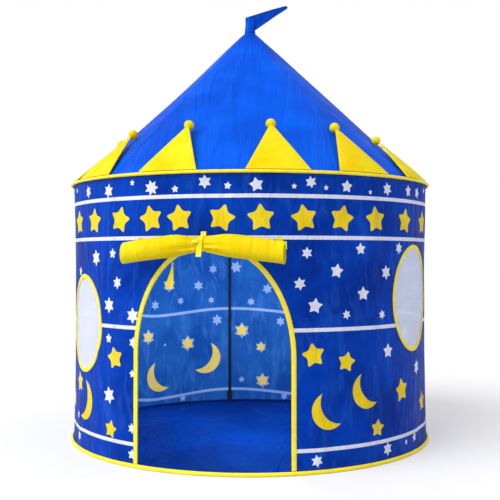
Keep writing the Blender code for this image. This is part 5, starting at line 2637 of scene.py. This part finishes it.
@dataclass
class Studio:
    """White floor and sky, soft light from the left, and the camera of the photograph.

    The camera stands level, at the angle and distance that the two hoops' ellipses give.
    """

    angle: float = 10.8
    distance: float = 2.499
    height: float = 0.525
    lens: float = 59.98
    sensor: float = 36.0
    shift_up: float = 0.0126
    sky_strength: float = 0.72
    key_strength: float = 2.45
    key_from: tuple[float, float, float] = (-0.75, -0.80, 1.0)
    key_spread: float = 50.0
    floor_glow: float = 0.30
    inside_power: float = 11.0
    inside_height: float = 0.40
    floor_size: float = 40.0

    def seen_by(self, tree: bpy.types.NodeTree, *kinds: str) -> bpy.types.NodeSocket:
        """1 for rays of the given kinds and 0 for all others.

        Args:
            tree: Node tree that gets the nodes.
            kinds: Kinds of ray.

        Returns:
            Socket with the value.
        """
        path = add_node(tree, "ShaderNodeLightPath").outputs
        seen, *more = [path[f"Is {kind} Ray"] for kind in kinds]
        for ray in more:
            either = add_node(tree, "ShaderNodeMath", {0: seen, 1: ray}, operation="MAXIMUM")
            seen = either.outputs["Value"]
        return seen

    def put(self, name: str, data: bpy.types.ID, **settings: float) -> bpy.types.Object:
        """Put a lamp or the camera into the scene, with its settings.

        Args:
            name: Name of the object.
            data: Its lamp or camera.
            settings: Properties of that lamp or camera.

        Returns:
            The object.
        """
        for setting, value in settings.items():
            setattr(data, setting, value)
        thing = bpy.data.objects.new(name, data)
        bpy.context.collection.objects.link(thing)
        return thing

    def white_paint(self) -> bpy.types.Material:
        """Matt white floor that shows white to the camera and keeps the object's shadow.

        Returns:
            The material.
        """
        made = bpy.data.materials.new("studio_white_paint")
        made.use_nodes = True
        tree = made.node_tree
        tree.nodes.remove(tree.nodes["Principled BSDF"])
        matt = add_node(tree, "ShaderNodeBsdfDiffuse", {"Color": linear("#CDCDCF")})
        glowing = {0: self.seen_by(tree, "Camera", "Glossy", "Transmission"), 1: self.floor_glow}
        strength = add_node(tree, "ShaderNodeMath", glowing, operation="MULTIPLY")
        glow = add_node(tree, "ShaderNodeEmission", {"Strength": strength.outputs["Value"]})
        both = add_node(tree, "ShaderNodeAddShader", {0: matt.outputs[0], 1: glow.outputs[0]})
        tree.links.new(both.outputs[0], tree.nodes["Material Output"].inputs["Surface"])
        return made

    def build(self) -> None:
        """Make the floor, the sky, the lamp and the camera."""
        scene = bpy.context.scene
        scene.view_settings.view_transform = "Standard"
        half = self.floor_size / 2
        corners = [(-half, -half, 0), (half, -half, 0), (half, half, 0), (-half, half, 0)]
        mesh = bpy.data.meshes.new("studio_floor")
        mesh.from_pydata(corners, [], [(0, 1, 2, 3)])
        floor = link("studio_floor", mesh, [self.white_paint()])

        world = bpy.data.worlds.new("studio_sky")
        world.use_nodes = True
        tree = world.node_tree
        seen = self.seen_by(tree, "Camera", "Transmission")
        strength = add_node(
            tree, "ShaderNodeMapRange", {"Value": seen, "To Min": self.sky_strength, "To Max": 1.0}
        )
        sky = {"Color": (1.0, 1.0, 1.0, 1.0), "Strength": strength.outputs["Result"]}
        feed(tree, tree.nodes["Background"], sky)
        scene.world = world

        lamp = bpy.data.lights.new("key_light", "SUN")
        spread = math.radians(self.key_spread)
        key = self.put("key_light", lamp, energy=self.key_strength, angle=spread)
        key.rotation_euler = Vector(self.key_from).to_track_quat("Z", "Y").to_euler()

        # Sunlight that real thin cloth lets through brightens the inside evenly
        lamp = bpy.data.lights.new("inside_light", "POINT")
        inside = self.put("inside_light", lamp, energy=self.inside_power, shadow_soft_size=0.2)
        inside.location = (0.0, 0.0, self.inside_height)
        inside.visible_camera = inside.visible_glossy = False

        lens = {"lens": self.lens, "sensor_width": self.sensor, "shift_y": self.shift_up}
        camera = self.put("photo_camera", bpy.data.cameras.new("photo_camera"), **lens)
        camera.location = direction(self.angle) * self.distance + Vector((0, 0, self.height))
        camera.rotation_euler = (math.pi / 2, 0.0, math.radians(self.angle))
        scene.camera = camera


def main() -> None:
    """Build every sub-assembly in order."""
    logging.basicConfig(level=logging.INFO, format="%(name)s: %(message)s")
    wardrobe = Wardrobe()
    drum = Drum()
    doorway = Doorway()
    windows = [
        OvalWindow("left_window", angle=-49.2, width=0.209, height=0.253, middle=0.346),
        OvalWindow("right_window", angle=69.0, width=0.223, height=0.274, middle=0.414),
    ]
    cone = Cone(drum)
    trim = Trim(drum, doorway, windows, wardrobe)
    crown = Crown(drum, trim, wardrobe)
    roof = RoofCloth(cone, wardrobe, crown.balls(), crown.ball)
    PrintedWalls(drum, doorway, windows, NightSkyPrint(), wardrobe).build()
    roof.build()
    trim.build()
    Stitching(drum, trim, cone, roof, wardrobe).build()
    crown.build()
    DoorFlap(drum, doorway, wardrobe).build()
    ForkedRibbon(drum, wardrobe).build()
    Pennant(cone, wardrobe).build()
    FloorSheet(drum, wardrobe).build()
    dress_frame(wardrobe)
    Studio().build()


if __name__ == "__main__":
    main()
